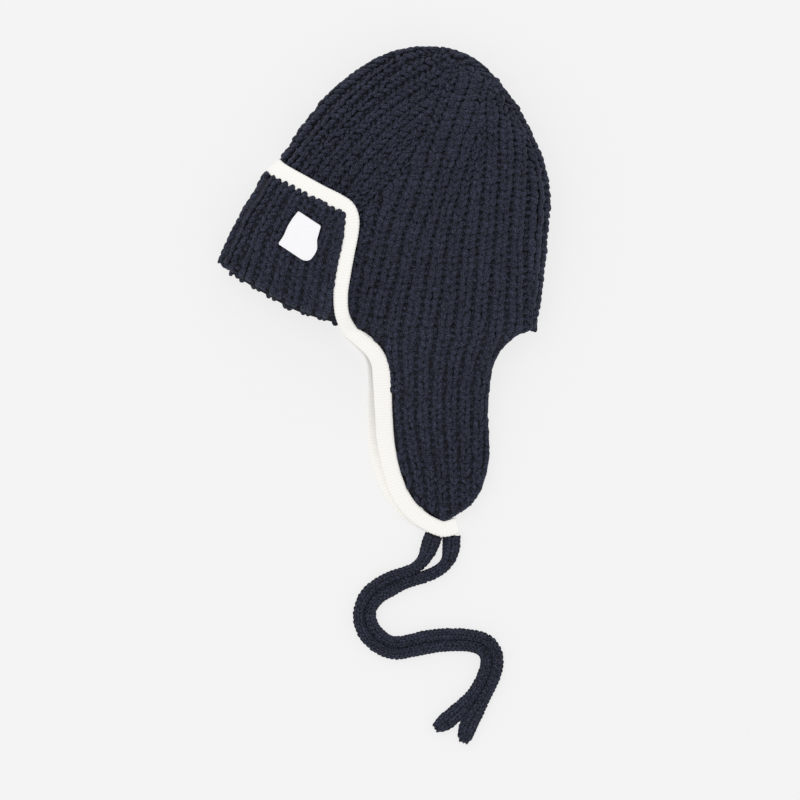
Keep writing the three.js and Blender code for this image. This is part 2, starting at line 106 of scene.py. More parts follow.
def woolBlendYarn(name, look):  # plied wool blend, brushed by wear: matt, a faint pale bloom at its edges
    material, tree = newMaterial(name)
    shade = addNode(tree, "ShaderNodeAttribute", attribute_name="shade")
    inYarn = addNode(tree, "ShaderNodeAttribute", attribute_name="inYarn")
    place = addNode(tree, "ShaderNodeTexCoord").outputs["Object"]
    # the shade attribute holds a random tone for every stitch, and painted light and shade: lit leg tops,
    # shaded undersides, ground and valley loops
    legTone = addNode(tree, "ShaderNodeValToRGB", {"Fac": shade.outputs["Fac"]})
    stops = legTone.color_ramp.elements
    stops[0].color, stops[1].color = linear(look["groundShadeHex"]), linear(look["litCrestHex"])
    stops.new(0.5).color = linear(look["legHex"])
    fleckNoise = addNode(tree, "ShaderNodeTexNoise", {
        "Vector": place, "Scale": 1000 / look["fleck"], "Detail": 4.0, "Roughness": 0.65})
    flecks = addNode(tree, "ShaderNodeMapRange", {
        "Value": fleckNoise.outputs["Fac"], "From Min": 0.52, "From Max": 0.78, "To Min": 0.0, "To Max": 0.5})
    heather = addNode(tree, "ShaderNodeMix", {  # 0 is the factor, 6 and 7 are the colours
        0: flecks.outputs["Result"], 6: legTone.outputs["Color"], 7: linear(look["heatherHex"])},
        data_type="RGBA")
    wearNoise = addNode(tree, "ShaderNodeTexNoise", {
        "Vector": place, "Scale": 1000 / look["wear"], "Detail": 2.0})
    worn = addNode(tree, "ShaderNodeMapRange", {
        "Value": wearNoise.outputs["Fac"], "From Min": 0.3, "From Max": 0.7, "To Min": 0.92, "To Max": 1.08})
    tuftNoise = addNode(tree, "ShaderNodeTexNoise", {
        "Vector": place, "Scale": 1000 / look["tuft"], "Detail": 0.8})
    tufted = addNode(tree, "ShaderNodeMapRange", {
        "Value": tuftNoise.outputs["Fac"], "From Min": 0.32, "From Max": 0.68,
        "To Min": 1 - look["tuftContrast"], "To Max": 1 + look["tuftContrast"]})
    tone = addNode(tree, "ShaderNodeMath", {0: worn.outputs["Result"], 1: tufted.outputs["Result"]},
                   operation="MULTIPLY")
    colour = addNode(tree, "ShaderNodeHueSaturation", {
        "Color": heather.outputs[2], "Value": tone.outputs["Value"]})
    plies = addNode(tree, "ShaderNodeTexWave", {  # its bands lie about a plyGap apart on a leg
        "Vector": inYarn.outputs["Vector"], "Scale": 0.5 / look["plyGap"], "Distortion": 0.6, "Detail": 1.0},
        wave_type="BANDS", bands_direction="DIAGONAL")
    hairs = addNode(tree, "ShaderNodeTexNoise", {
        "Vector": place, "Scale": 1000 / look["fibre"], "Detail": 3.0, "Roughness": 0.7})
    plyBump = addNode(tree, "ShaderNodeBump", {
        "Height": plies.outputs["Fac"], "Strength": 0.45, "Distance": 0.35 * mm})
    fibreBump = addNode(tree, "ShaderNodeBump", {
        "Height": hairs.outputs["Fac"], "Normal": plyBump.outputs["Normal"], "Strength": 0.5,
        "Distance": 0.25 * mm})
    surface = addNode(tree, "ShaderNodeBsdfPrincipled", {
        "Base Color": colour.outputs["Color"], "Roughness": look["roughness"], "IOR": look["ior"],
        "Specular IOR Level": 0.25, "Sheen Weight": look["sheen"], "Sheen Roughness": 0.45,
        "Sheen Tint": linear(look["sheenHex"]), "Normal": fibreBump.outputs["Normal"]})
    addNode(tree, "ShaderNodeOutputMaterial", {"Surface": surface.outputs["BSDF"]})
    return material


bandLook = {
    "yarnHex": "#fdfbf7",
    "hollowShadeHex": "#f1efe8",  # painted shade between the cross ribs
    "roughness": 0.85,
    "ior": 1.54,  # wool
    "sheen": 0.15,
    "fleck": 1.0,  # mm, two fibres together
}


def creamKnitBand(name, look):  # a fine flat knit folded over the edge: soft off-white, faint cross ribs with painted shade between them
    material, tree = newMaterial(name)
    shade = addNode(tree, "ShaderNodeAttribute", attribute_name="shade")
    place = addNode(tree, "ShaderNodeTexCoord").outputs["Object"]
    fibre = addNode(tree, "ShaderNodeTexNoise", {
        "Vector": place, "Scale": 1000 / look["fleck"], "Detail": 4.0, "Roughness": 0.6})
    fleck = addNode(tree, "ShaderNodeMapRange", {
        "Value": fibre.outputs["Fac"], "From Min": 0.3, "From Max": 0.7, "To Min": -0.15, "To Max": 0.15})
    tone = addNode(tree, "ShaderNodeMath", {0: shade.outputs["Fac"], 1: fleck.outputs["Result"]},
                   operation="ADD")
    colour = addNode(tree, "ShaderNodeValToRGB", {"Fac": tone.outputs["Value"]})
    stops = colour.color_ramp.elements
    stops[0].position, stops[1].position = 0.1, 0.8
    stops[0].color, stops[1].color = linear(look["hollowShadeHex"]), linear(look["yarnHex"])
    bump = addNode(tree, "ShaderNodeBump", {
        "Height": fibre.outputs["Fac"], "Strength": 0.4, "Distance": 0.25 * mm})
    surface = addNode(tree, "ShaderNodeBsdfPrincipled", {
        "Base Color": colour.outputs["Color"], "Roughness": look["roughness"], "IOR": look["ior"],
        "Specular IOR Level": 0.2, "Sheen Weight": look["sheen"], "Sheen Roughness": 0.5,
        "Normal": bump.outputs["Normal"]})
    addNode(tree, "ShaderNodeOutputMaterial", {"Surface": surface.outputs["BSDF"]})
    return material


patchLook = {
    "warpHex": "#fefdff",
    # painted shade in the gaps between the threads
    "gapShadeHex": "#dddce6",
    "thread": 0.45,  # mm, coarser than the real one so that it shows
    "roughness": 0.7,
    "ior": 1.5,
}


def damaskPatch(name, look):  # dense polyester damask, heat cut: bright white with a fine square weave, painted shade in its gaps
    material, tree = newMaterial(name)
    weave = addNode(tree, "ShaderNodeAttribute", attribute_name="weave")
    warp, weft = (addNode(tree, "ShaderNodeTexWave", {  # one wave covers about two threads
        "Vector": weave.outputs["Vector"], "Scale": 1 / look["thread"] / 6}, bands_direction=way)
        for way in "XY")
    height = addNode(tree, "ShaderNodeMath", {0: warp.outputs["Fac"], 1: weft.outputs["Fac"]},
                     operation="MAXIMUM")
    # painted shade: the low places between the threads are darker
    colour = addNode(tree, "ShaderNodeValToRGB", {"Fac": height.outputs["Value"]})
    stops = colour.color_ramp.elements
    stops[1].position = 0.6
    stops[0].color, stops[1].color = linear(look["gapShadeHex"]), linear(look["warpHex"])
    bump = addNode(tree, "ShaderNodeBump", {
        "Height": height.outputs["Value"], "Strength": 0.4, "Distance": 0.15 * mm})
    surface = addNode(tree, "ShaderNodeBsdfPrincipled", {
        "Base Color": colour.outputs["Color"], "Roughness": look["roughness"], "IOR": look["ior"],
        "Specular IOR Level": 0.35, "Normal": bump.outputs["Normal"]})
    addNode(tree, "ShaderNodeOutputMaterial", {"Surface": surface.outputs["BSDF"]})
    return material


floorLook = {"tone": 0.15, "lit": 0.755, "roughness": 0.9, "grain": 1.11}  # the grain in mm


def paleFloor(name, look):  # matt paper on a light table, lit from below as well, so that shadows stay faint
    material, tree = newMaterial(name)
    place = addNode(tree, "ShaderNodeTexCoord").outputs["Object"]
    grain = addNode(tree, "ShaderNodeTexNoise", {
        "Vector": place, "Scale": 1000 / look["grain"], "Detail": 2.0})
    bump = addNode(tree, "ShaderNodeBump", {
        "Height": grain.outputs["Fac"], "Strength": 0.05, "Distance": 0.1 * mm})
    surface = addNode(tree, "ShaderNodeBsdfPrincipled", {
        "Base Color": (look["tone"],) * 3 + (1,), "Roughness": look["roughness"], "Specular IOR Level": 0.0,
        "Emission Color": (1, 1, 1, 1), "Emission Strength": look["lit"], "Normal": bump.outputs["Normal"]})
    addNode(tree, "ShaderNodeOutputMaterial", {"Surface": surface.outputs["BSDF"]})
    return material


darkYarn = woolBlendYarn("woolBlendYarnDark", yarnLook)
tieYarn = woolBlendYarn("woolBlendYarnTie", yarnLook)
creamBand = creamKnitBand("creamKnitBand", bandLook)
patchWeave = damaskPatch("damaskPatchWhite", patchLook)
print("materials made")


# Meshes from arrays, in mm until they are handed over

def meshPiece(name, parts, material):  # parts are dictionaries of points, quads, tris and attributes
    points = np.concatenate([part["points"] for part in parts])
    quads, tris, offset = [], [], 0
    for part in parts:
        quads.append(part["quads"].reshape(-1, 4) + offset)
        tris.append(np.asarray(part.get("tris", ()), int).reshape(-1, 3) + offset)
        offset += len(part["points"])
    quads, tris = np.concatenate(quads), np.concatenate(tris)
    loops = np.concatenate([quads.ravel(), tris.ravel()]).astype(np.int32)
    starts = np.concatenate([np.arange(len(quads)) * 4, len(quads) * 4 + np.arange(len(tris)) * 3])
    mesh = bpy.data.meshes.new(name)
    mesh.vertices.add(len(points))
    mesh.vertices.foreach_set("co", (points * mm).astype(np.float32).ravel())
    mesh.loops.add(len(loops))
    mesh.loops.foreach_set("vertex_index", loops)
    mesh.polygons.add(len(starts))
    mesh.polygons.foreach_set("loop_start", starts.astype(np.int32))
    mesh.polygons.foreach_set("use_smooth", np.ones(len(starts), bool))
    mesh.update(calc_edges=True)
    for attribute, kind, field in (("shade", "FLOAT", "value"), ("inYarn", "FLOAT_VECTOR", "vector"),
                                   ("weave", "FLOAT_VECTOR", "vector")):
        if all(attribute in part for part in parts):
            values = np.concatenate([part[attribute] for part in parts]).astype(np.float32)
            mesh.attributes.new(attribute, kind, "POINT").data.foreach_set(field, values.ravel())
    mesh.materials.append(material)
    piece = bpy.data.objects.new(name, mesh)
    bpy.context.collection.objects.link(piece)
    print(f"{name}: {len(quads) * 2 + len(tris)} triangles")
    return piece


def gridQuads(rows, columns, closed=False):  # quads of a grid of points, closed round its columns or not
    first = np.arange(rows - 1)[:, None] * columns
    here = np.arange(columns if closed else columns - 1)[None, :]
    ahead = (here + 1) % columns
    corners = [first + here, first + ahead, first + columns + ahead, first + columns + here]
    return np.stack(corners, -1).reshape(-1, 4)


def tubeEnds(rings, columns):  # triangles that close a tube, to two points after its grid: start and end
    around = np.arange(columns)
    ahead, last = (around + 1) % columns, (rings - 1) * columns
    start = np.stack([np.full(columns, rings * columns), ahead, around], -1)
    end = np.stack([np.full(columns, rings * columns + 1), last + around, last + ahead], -1)
    return np.vstack([start, end])


def closedSheet(outward, inward):  # points and quads of a sheet, from the grids of its two faces
    rows, columns = outward.shape[:2]
    count = rows * columns
    grid, index = gridQuads(rows, columns), np.arange(count).reshape(rows, columns)
    border = np.concatenate([index[0], index[1:, -1], index[-1, -2::-1], index[-2:0:-1, 0]])
    ahead = np.roll(border, -1)
    sides = np.stack([border, ahead, ahead + count, border + count], -1)
    points = np.vstack([outward.reshape(-1, 3), inward.reshape(-1, 3)])
    return points, np.vstack([grid[:, ::-1], grid + count, sides])


def shadedGround(points, quads, tris=(), tone=0.1):  # a part that lies under the stitches, coloured as painted shade
    return {"points": points, "quads": quads, "tris": tris, "shade": np.full(len(points), tone),
            "inYarn": np.zeros((len(points), 3))}


def unit(vectors):
    return vectors / np.maximum(np.linalg.norm(vectors, axis=-1, keepdims=True), 1e-9)


def smooth(low, high, value):
    t = np.clip((value - low) / (high - low), 0, 1)
    return t * t * (3 - 2 * t)


def stray(spread, shape):
    return rng.normal(0, spread, shape)


def runLength(line):  # how far along a line each of its points lies
    return np.concatenate([[0], np.cumsum(np.linalg.norm(np.diff(line[:, :3], axis=0), axis=1))])


def sampled(places, along, table):  # every column of a table of points, at the places along them
    return np.stack([np.interp(places, along, column) for column in table.T], -1)


def throughPoints(points, step, spanPoints=41):  # centripetal Catmull-Rom, evenly resampled
    points = np.asarray(points, float)
    padded = np.vstack([2 * points[0] - points[1], points, 2 * points[-1] - points[-2]])
    knots = np.concatenate([[0], np.cumsum(np.linalg.norm(np.diff(padded[:, :3], axis=0), axis=1) ** 0.5)])
    dense = []

    def mix(a, b, start, end):
        return (end - t) / (end - start) * a + (t - start) / (end - start) * b

    for i in range(1, len(padded) - 2):
        t = np.linspace(knots[i], knots[i + 1], spanPoints)[: None if i == len(padded) - 3 else -1, None]
        p, k = padded[i - 1:i + 3], knots[i - 1:i + 3]
        a1, a2, a3 = (mix(p[j], p[j + 1], k[j], k[j + 1]) for j in range(3))
        b1, b2 = mix(a1, a2, k[0], k[2]), mix(a2, a3, k[1], k[3])
        dense.append(mix(b1, b2, k[1], k[2]))
    dense = np.vstack(dense)
    along = runLength(dense)
    places = np.linspace(0, along[-1], max(int(round(along[-1] / step)), 2) + 1)
    return sampled(places, along, dense), places


# One yarn leg: a plump bean, longer along y, flatter along z, both its ends bent in

# facingShade is painted light and shade: a leg's top is lighter and its underside darker
beanForm = {"girth": 0.8, "bend": 0.12, "facingShade": 0.42, "floorAt": 0.15}  # no bean lies under floorAt, mm


def beanShape(segments, rings):
    tilt = math.pi * np.arange(1, rings + 1) / (rings + 1)
    turn = 2 * math.pi * np.arange(segments) / segments
    girth = np.sin(tilt) ** beanForm["girth"]
    ring = np.stack([np.outer(girth, np.cos(turn)), np.repeat(-np.cos(tilt)[:, None], segments, 1),
                     np.outer(girth, np.sin(turn))], -1).reshape(-1, 3)
    points = np.vstack([[0, -1, 0], ring, [0, 1, 0]])
    here, ahead = np.arange(segments), (np.arange(segments) + 1) % segments
    last, lastRing = len(points) - 1, 1 + (rings - 1) * segments
    low = np.stack([np.zeros(segments, int), 1 + here, 1 + ahead], -1)
    high = np.stack([np.full(segments, last), lastRing + ahead, lastRing + here], -1)
    quads = gridQuads(rings, segments, closed=True) + 1
    return points, quads[:, ::-1], np.vstack([low, high])


legBean, loopBean = beanShape(8, 5), beanShape(6, 3)


def legs(centres, alongs, normals, sizes, shade, bean=legBean):  # yarn legs, all in one part
    beanPoints, beanQuads, beanTris = bean
    alongs = unit(alongs)
    normals = unit(normals - alongs * np.sum(normals * alongs, -1, keepdims=True))
    across = np.cross(alongs, normals)
    local = beanPoints[None] * sizes[:, None, :]
    local[:, :, 2] -= beanForm["bend"] * sizes[:, None, 2] * beanPoints[None, :, 1] ** 2
    points = (centres[:, None] + local[..., 0:1] * across[:, None] + local[..., 1:2] * alongs[:, None]
              + local[..., 2:3] * normals[:, None])
    points[..., 2] = np.maximum(points[..., 2], beanForm["floorAt"])
    start = np.arange(len(centres))[:, None, None] * len(beanPoints)
    # painted light and shade: the top of every leg lighter, its underside darker
    facingShade = 0.5 + beanForm["facingShade"] * beanPoints[:, 2]
    tones = np.clip(facingShade[None] * shade[:, None], 0, 1)
    return {"points": points.reshape(-1, 3), "quads": (beanQuads[None] + start).reshape(-1, 4),
            "tris": (beanTris[None] + start).reshape(-1, 3), "shade": tones.ravel(),
            "inYarn": local.reshape(-1, 3)}


stitchLook = {
    "rowPitch": 5.35,  # mm from stitch to stitch up a rib
    "legApart": 0.19,  # of the rib's pitch, from the rib's middle to each leg
    "legWide": 0.205,  # half a leg's width, of the rib's pitch
    "legLong": 0.8,  # half a leg's length, of the row's pitch
    "legHigh": 2.0,  # mm, half a leg's height, and no more than this share of the rib's pitch
    "legHighShare": 0.2,
    "roll": 10.0,  # degrees that a leg is rolled out over its rib's side
    "lean": 24.0,  # degrees outward, going up
    "proud": 14.0,  # degrees, the lower end out of the knit
    "loopLong": 0.2,  # half the length of a loop across the valley between two ribs, of the rib's pitch
    "loopThick": 1.45,  # mm, half their thickness
    "loopWide": 1.15,  # half their width, of half their thickness
    "loopTilt": 16.0,  # degrees, one way and the other in turn
    "loopSunk": 0.9,  # mm below the legs
    # painted shade: the loops across the valleys are darker than the legs
    "loopShade": 0.9,
    "sunk": 1.2,  # mm from the plain surface in to a leg's middle
    "sunkUnder": 2.1,  # the same where the hat lies on it
    "ground": 2.8,  # mm from the plain surface in to the ground, which is coloured as painted shade
}
# How far the stitches stray: their places in mm, angles in degrees, the rest as shares
stitchStray = {"place": 0.36, "lean": 6, "proud": 3, "plump": 0.07, "long": 0.06, "shade": 0.09,
               "loopTilt": 9, "loopThick": 0.08, "loopShade": 0.1}


def sunkAt(normals):  # how far in the legs lie
    return np.where(normals[:, 2] < -0.6, stitchLook["sunkUnder"], stitchLook["sunk"])


def ribLegs(middle, leftLeg, rightLeg, normals, pitch, sunk, keep=None, valley=None):
    # Both columns of legs of one rib. leftLeg and rightLeg are the legs' places on the surface, row by row.
    # keep says of a place whether a leg lies there. valley has the places beside the rib where loops cross.
    look, spread = stitchLook, stitchStray
    alongs, flat = unit(np.gradient(middle, axis=0)), unit(normals)
    across = unit(np.cross(alongs, flat))
    parts = []

    def addKept(places, *shapes, bean=legBean, shade=None):
        kept = np.ones(len(places), bool) if keep is None else keep(places)
        if kept.any():
            # the loops take loopShade, painted shade in the valleys
            tones = shade[kept] if shade is not None else (
                look["loopShade"] + stray(spread["loopShade"], kept.sum()))
            parts.append(legs(*(shape[kept] for shape in shapes), tones, bean))

    for side, place in ((-1, leftLeg), (1, rightLeg)):
        count, roll = len(place), math.radians(look["roll"]) * side
        normal = flat * math.cos(roll) + across * math.sin(roll)
        sideways = across * math.cos(roll) - flat * math.sin(roll)
        lean = np.radians(look["lean"] + stray(spread["lean"], count))[:, None] * side
        proud = np.radians(look["proud"] + stray(spread["proud"], count))[:, None]
        leant = alongs * np.cos(lean) + sideways * np.sin(lean)
        along = leant * np.cos(proud) - normal * np.sin(proud)
        out = normal * np.cos(proud) + leant * np.sin(proud)
        centres = place - flat * sunk[:, None] + stray(spread["place"], (count, 3))
        plump = 1 + stray(spread["plump"], count)
        sizes = np.stack([pitch * look["legWide"] * plump,
                          look["rowPitch"] * look["legLong"] * (1 + stray(spread["long"], count)),
                          np.minimum(look["legHigh"], pitch * look["legHighShare"]) * plump], -1)
        addKept(place, centres, along, out, sizes, shade=1 + stray(spread["shade"], count))
    if valley is not None:
        count = len(valley)
        inTurn = look["loopTilt"] * (-1) ** np.arange(count)
        tilt = np.radians(stray(spread["loopTilt"], count) + inTurn)[:, None]
        crossing = across * np.cos(tilt) + alongs * np.sin(tilt)
        centres = valley - flat * (sunk + look["loopSunk"])[:, None] + stray(spread["place"], (count, 3))
        thick = look["loopThick"] * (1 + stray(spread["loopThick"], count))
        sizes = np.stack([thick * look["loopWide"], pitch * look["loopLong"], thick], -1)
        addKept(valley, centres, crossing, flat, sizes, bean=loopBean)
    return parts


# The crown's plain surface, the same rows as in the part's source

# up, front x and y, back x and y, sag, height of the folds, top, low; mm
crownRows = np.array([
    (0, -119, 16, 115, -28, 24, 15, 36, 0),
    (0.15, -103, 51.5, 120, 7, 25, 16, 42, 0),
    (0.3, -85.5, 87, 123.5, 42, 26, 18, 47, 0),
    (0.45, -64, 120.6, 124.7, 78, 28, 19, 50, 0),
    (0.58, -42.8, 147.6, 116.8, 107, 29, 20, 50, 0),
    (0.7, -18, 168, 105, 132, 28, 20, 47, 0),
    (0.8, 4.8, 180, 91.7, 152, 24, 19, 42, 0),
    (0.88, 25, 184.4, 79, 166.5, 17, 18, 35, 1),
    (0.94, 41, 184.2, 68.5, 175.5, 9, 17, 28, 4),
    (0.98, 50.5, 183, 61, 179.5, 2, 16, 22, 9),
    (1, 55, 181.7, 56, 181.3, 0, 16, 17.5, 14),
])
apex = np.array([55.5, 181.5, 16])
dents = np.array([  # x, y, reach, depth
    (37, 148, 20, 4), (66, 88, 26, 2.5), (36, 54, 28, 3), (16, 0, 26, 2.5),
])
crownForm = {  # mm, apart from shares
    "reach": 225, "rise": 26, "roundness": 2.8,  # of its section, which is a rounded rectangle's upper half
    "wall": 5,
    "floorLift": 6.8, "liftAcross": (0.44, 0.62), "liftUp": (0.38, 0.56),  # the front stands off the floor
    "bulge": 0.75, "under": 0.7, "sink": 1.5,
    "seat": 0.8,  # from the crown to what lies on it
    "flapThick": 6,
    "roundedTop": 0.975,  # the ribs end below this share of the way up
}


def rowAt(rows, place):  # every column on a smooth curve through the rows
    keys = rows[:, 0]
    last = len(keys) - 1
    place = np.asarray(place, float)
    i = np.clip(np.searchsorted(keys, place, side="right") - 1, 0, last - 1)
    before, beyond = np.maximum(i - 1, 0), np.minimum(i + 2, last)
    span = (keys[i + 1] - keys[i])[..., None]
    t = (place - keys[i])[..., None] / span
    a, b, c, d = rows[before], rows[i], rows[i + 1], rows[beyond]
    slopeStart = (c - a) / (keys[i + 1] - keys[before])[..., None] * span
    slopeEnd = (d - b) / (keys[beyond] - keys[i])[..., None] * span
    return (b * (2 * t ** 3 - 3 * t ** 2 + 1) + slopeStart * (t ** 3 - 2 * t ** 2 + t)
            + c * (3 * t ** 2 - 2 * t ** 3) + slopeEnd * (t ** 3 - t ** 2))


sectionAngle = math.pi * np.arange(241) / 240
sectionCos, sectionSin = np.cos(sectionAngle), np.maximum(np.sin(sectionAngle), 0)
sectionAcross = 0.5 - 0.5 * np.sign(sectionCos) * np.abs(sectionCos) ** (2 / crownForm["roundness"])
sectionFull = sectionSin ** (2 / crownForm["roundness"])
sectionStep = np.hypot(np.diff(sectionAcross) * crownForm["reach"], np.diff(sectionFull) * crownForm["rise"])
sectionAlong = np.concatenate([[0], np.cumsum(sectionStep)])
sectionAlong /= sectionAlong[-1]


def crownPoint(girth, up):
    # girth runs from the front fold (0) over the upper side to the back fold (1) and back underneath (2)
    girth, up = np.broadcast_arrays(np.mod(np.asarray(girth, float), 2), np.asarray(up, float))
    s = np.where(girth > 1, 2 - girth, girth)
    row = rowAt(crownRows, up)
    frontX, frontY, backX, backY, sag, fold, top, low = (row[..., i] for i in range(1, 9))
    across, full = np.interp(s, sectionAlong, sectionAcross), np.interp(s, sectionAlong, sectionFull)
    x = frontX + (backX - frontX) * across
    y = frontY + (backY - frontY) * across - np.sin(math.pi * across ** crownForm["bulge"]) * sag
    above = fold + (top - fold) * full
    for dentX, dentY, reach, depth in dents:
        above = above - depth * full * np.exp(-((x - dentX) ** 2 + (y - dentY) ** 2) / reach ** 2)
    lift = crownForm["floorLift"] * (1 - smooth(*crownForm["liftAcross"], across))
    lift = lift * (1 - smooth(*crownForm["liftUp"], up))
    under, deep = girth > 1, fold - low + crownForm["sink"]
    below = np.maximum(np.maximum(lift, low), fold - deep * full ** crownForm["under"])
    return np.stack([x, y, np.where(under, below, above)], -1)


def crownNormal(girth, up):
    girth, up = np.broadcast_arrays(np.asarray(girth, float), np.asarray(up, float))
    d = 0.004
    along = crownPoint(girth + d, up) - crownPoint(girth - d, up)
    upward = crownPoint(girth, np.minimum(up + d, 1)) - crownPoint(girth, np.maximum(up - d, 0))
    return unit(np.cross(along, upward))


def crownOffset(girth, up, distance):
    return crownPoint(girth, up) + crownNormal(girth, up) * np.asarray(distance)[..., None]


def crownAt(x, y, distance, rounds=30, longest=0.2, d=0.002):
    # girth and up of the upper side's place that a point of the plan has, found step by step
    s, up = np.full_like(x, 0.25), np.full_like(x, 0.2)
    for _ in range(rounds):
        here = crownOffset(s, up, distance)
        bySide = (crownOffset(s + d, up, distance) - here) / d
        byUp = (crownOffset(s, up + d, distance) - here) / d
        missX, missY = x - here[..., 0], y - here[..., 1]
        area = bySide[..., 0] * byUp[..., 1] - bySide[..., 1] * byUp[..., 0]
        area = np.where(np.abs(area) < 100, 100, area)
        sideStep = (missX * byUp[..., 1] - missY * byUp[..., 0]) / area
        upStep = (bySide[..., 0] * missY - bySide[..., 1] * missX) / area
        s = np.clip(s + np.clip(sideStep, -longest, longest), 0.003, 0.997)
        up = np.clip(up + np.clip(upStep, -longest, longest), 0, crownForm["roundedTop"])
    return s, up


def overCrown(x, y, distance):
    s, up = crownAt(x, y, distance)
    return crownOffset(s, up, distance), crownNormal(s, up)


# The earflaps' plain surface: down, front x and y, back x and y, sag, how far the lower one stands ahead
earflapRows = np.array([
    (0, -27, -24, 112, -28, 5, 0),
    (7, -18, -29, 103, -31, 4, 0.5),
    (13, -10, -34, 96, -36, 3, 1),
    (21, -3, -41, 89, -43, 2, 2),
    (31, 2, -51, 83, -53, 1, 3.5),
    (44, 4, -65, 80, -67, 0, 4.5),
    (69, 5, -92, 78, -91, 0, 6),
    (90, 8, -112, 79, -112, 0, 7.8),
    (105, 11, -127, 79, -127, 1, 7.4),
    (118, 15, -140, 76, -141, 2, 6.6),
    (129, 20, -151, 72, -152, 3, 5.2),
    (138, 27, -160, 65, -161, 4, 3.4),
    (144, 34, -166, 57, -167, 4, 1.6),
    (149, 41, -171, 50, -171, 2.5, 0.6),
])
# The height at which the upper earflap lies, how far down both have settled, and where they leave the rim
earflapForm = {"lay": 11.8, "settled": 112, "underSettled": 42, "long": 149, "rimFrom": 0.4,
               "rimReach": 0.555}


def earflapPoint(side, across, down):  # side 1 is the upper earflap's upper face, -1 the lower one's under
    form = earflapForm
    across, down = np.broadcast_arrays(np.asarray(across, float), np.asarray(down, float))
    row = rowAt(earflapRows, np.maximum(down, 0))
    frontX, frontY, backX, backY, sag, ahead = (row[..., i] for i in range(1, 7))
    s = form["rimFrom"] + form["rimReach"] * across
    rim = crownPoint(s if side > 0 else 2 - s, np.zeros_like(s))
    x = frontX + (backX - frontX) * across - (ahead if side < 0 else 0)
    y = frontY + (backY - frontY) * across - sag * 4 * across * (1 - across)
    lay, settled = (form["lay"], form["settled"]) if side > 0 else (0, form["underSettled"])
    z = rim[..., 2] + (lay - rim[..., 2]) * smooth(0, settled, down)
    return np.stack([x, y, z], -1)


# The band's centreline in plan, from the earflap's tip up to the front fold: x, y, ahead
bandTip = np.array([
    (56, -177, 0), (45, -179.5, 0.3), (33.7, -175.2, 1.8), (22.4, -166.7, 4), (13.5, -155.2, 4.8),
    (6.9, -139, 6.3), (1.9, -116, 7.3), (0.2, -94, 6.3), (-1, -68, 4.5), (-3, -54, 3.5), (-8, -45, 2),
    (-16, -37.5, 1), (-25, -30, 0.5),
])
bandFlap = np.array([
    (-31, -18), (-32, -3), (-30, 12), (-27, 28), (-24, 44), (-24, 54), (-27, 61), (-34, 66), (-46, 72),
    (-59, 79),
], float)
bandForm = {
    "thick": 6.0, "step": 0.55, "sides": 18, "squareness": 3.8,
    "ribPitch": 2.2, "ribDeep": 0.06, "teeth": 0.25,  # the cross ribs, which leave fine teeth at both edges
    "foldUp": 0.335, "foldShares": (0.055, 0.02, 0, -0.02, -0.055),  # where it goes round the front fold
    "fold": ((-89.9, 90.9), (-79.0, 98.6)), "foldRoom": 1.5, "tight": 0.65,  # drawn in beyond this line
    # its edges wander in two waves: how far, how many mm go to a radian, and the radian that each starts at
    "wander": ((0.25, 17.0, 0), (0.18, 7.3, 1)), "wanderWide": 0.5, "wanderAside": 0.3,
}

# The band's width, by the way from its nearer end: narrower beside the front flap, fuller above it; mm
bandWidths = np.array([
    (0, 12.2), (25, 12.4), (60, 13.6), (150, 13.5), (180, 12.2), (205, 11), (268, 11.2), (292, 12.8),
    (330, 13.2), (366, 13.6),
])


def bandLine():  # centre points and broad-side normals, from the upper earflap's tip round to the lower one's
    half = bandForm["thick"] / 2
    onCrown = crownForm["seat"] + half
    stations = []
    for x, y, _ in bandTip:
        nearest = np.argmin(np.hypot(earflapRows[:, 1] - x, earflapRows[:, 2] - y))
        lay = float(earflapPoint(1, 0.0, earflapRows[nearest, 0])[2]) - crownForm["wall"] / 2
        stations.append((x, y, lay, 0, 0, 1))
    places, normals = overCrown(*bandFlap.T, np.full(len(bandFlap), onCrown))
    stations += [(*p, *n) for p, n in zip(places, normals)]
    for s in bandForm["foldShares"]:
        normal = crownNormal(s, bandForm["foldUp"])
        stations.append((*(crownPoint(s, bandForm["foldUp"]) + normal * onCrown), *normal))
    stations += [(x, y, half, 0, 0, -1) for x, y in bandFlap[::-1]]
    stations += [(x - ahead, y, half, 0, 0, -1) for x, y, ahead in bandTip[::-1]]
    return throughPoints(stations, bandForm["step"])


bandStations, bandAlong = bandLine()


def clearOfBand(points, room):  # which points are further than room from the band's centreline
    line = bandStations[::6, :3]
    near = np.min(np.linalg.norm(points[:, None] - line[None], axis=-1), axis=1)
    return near > room


# The ties: knitted cords, wider under the band and towards their tips

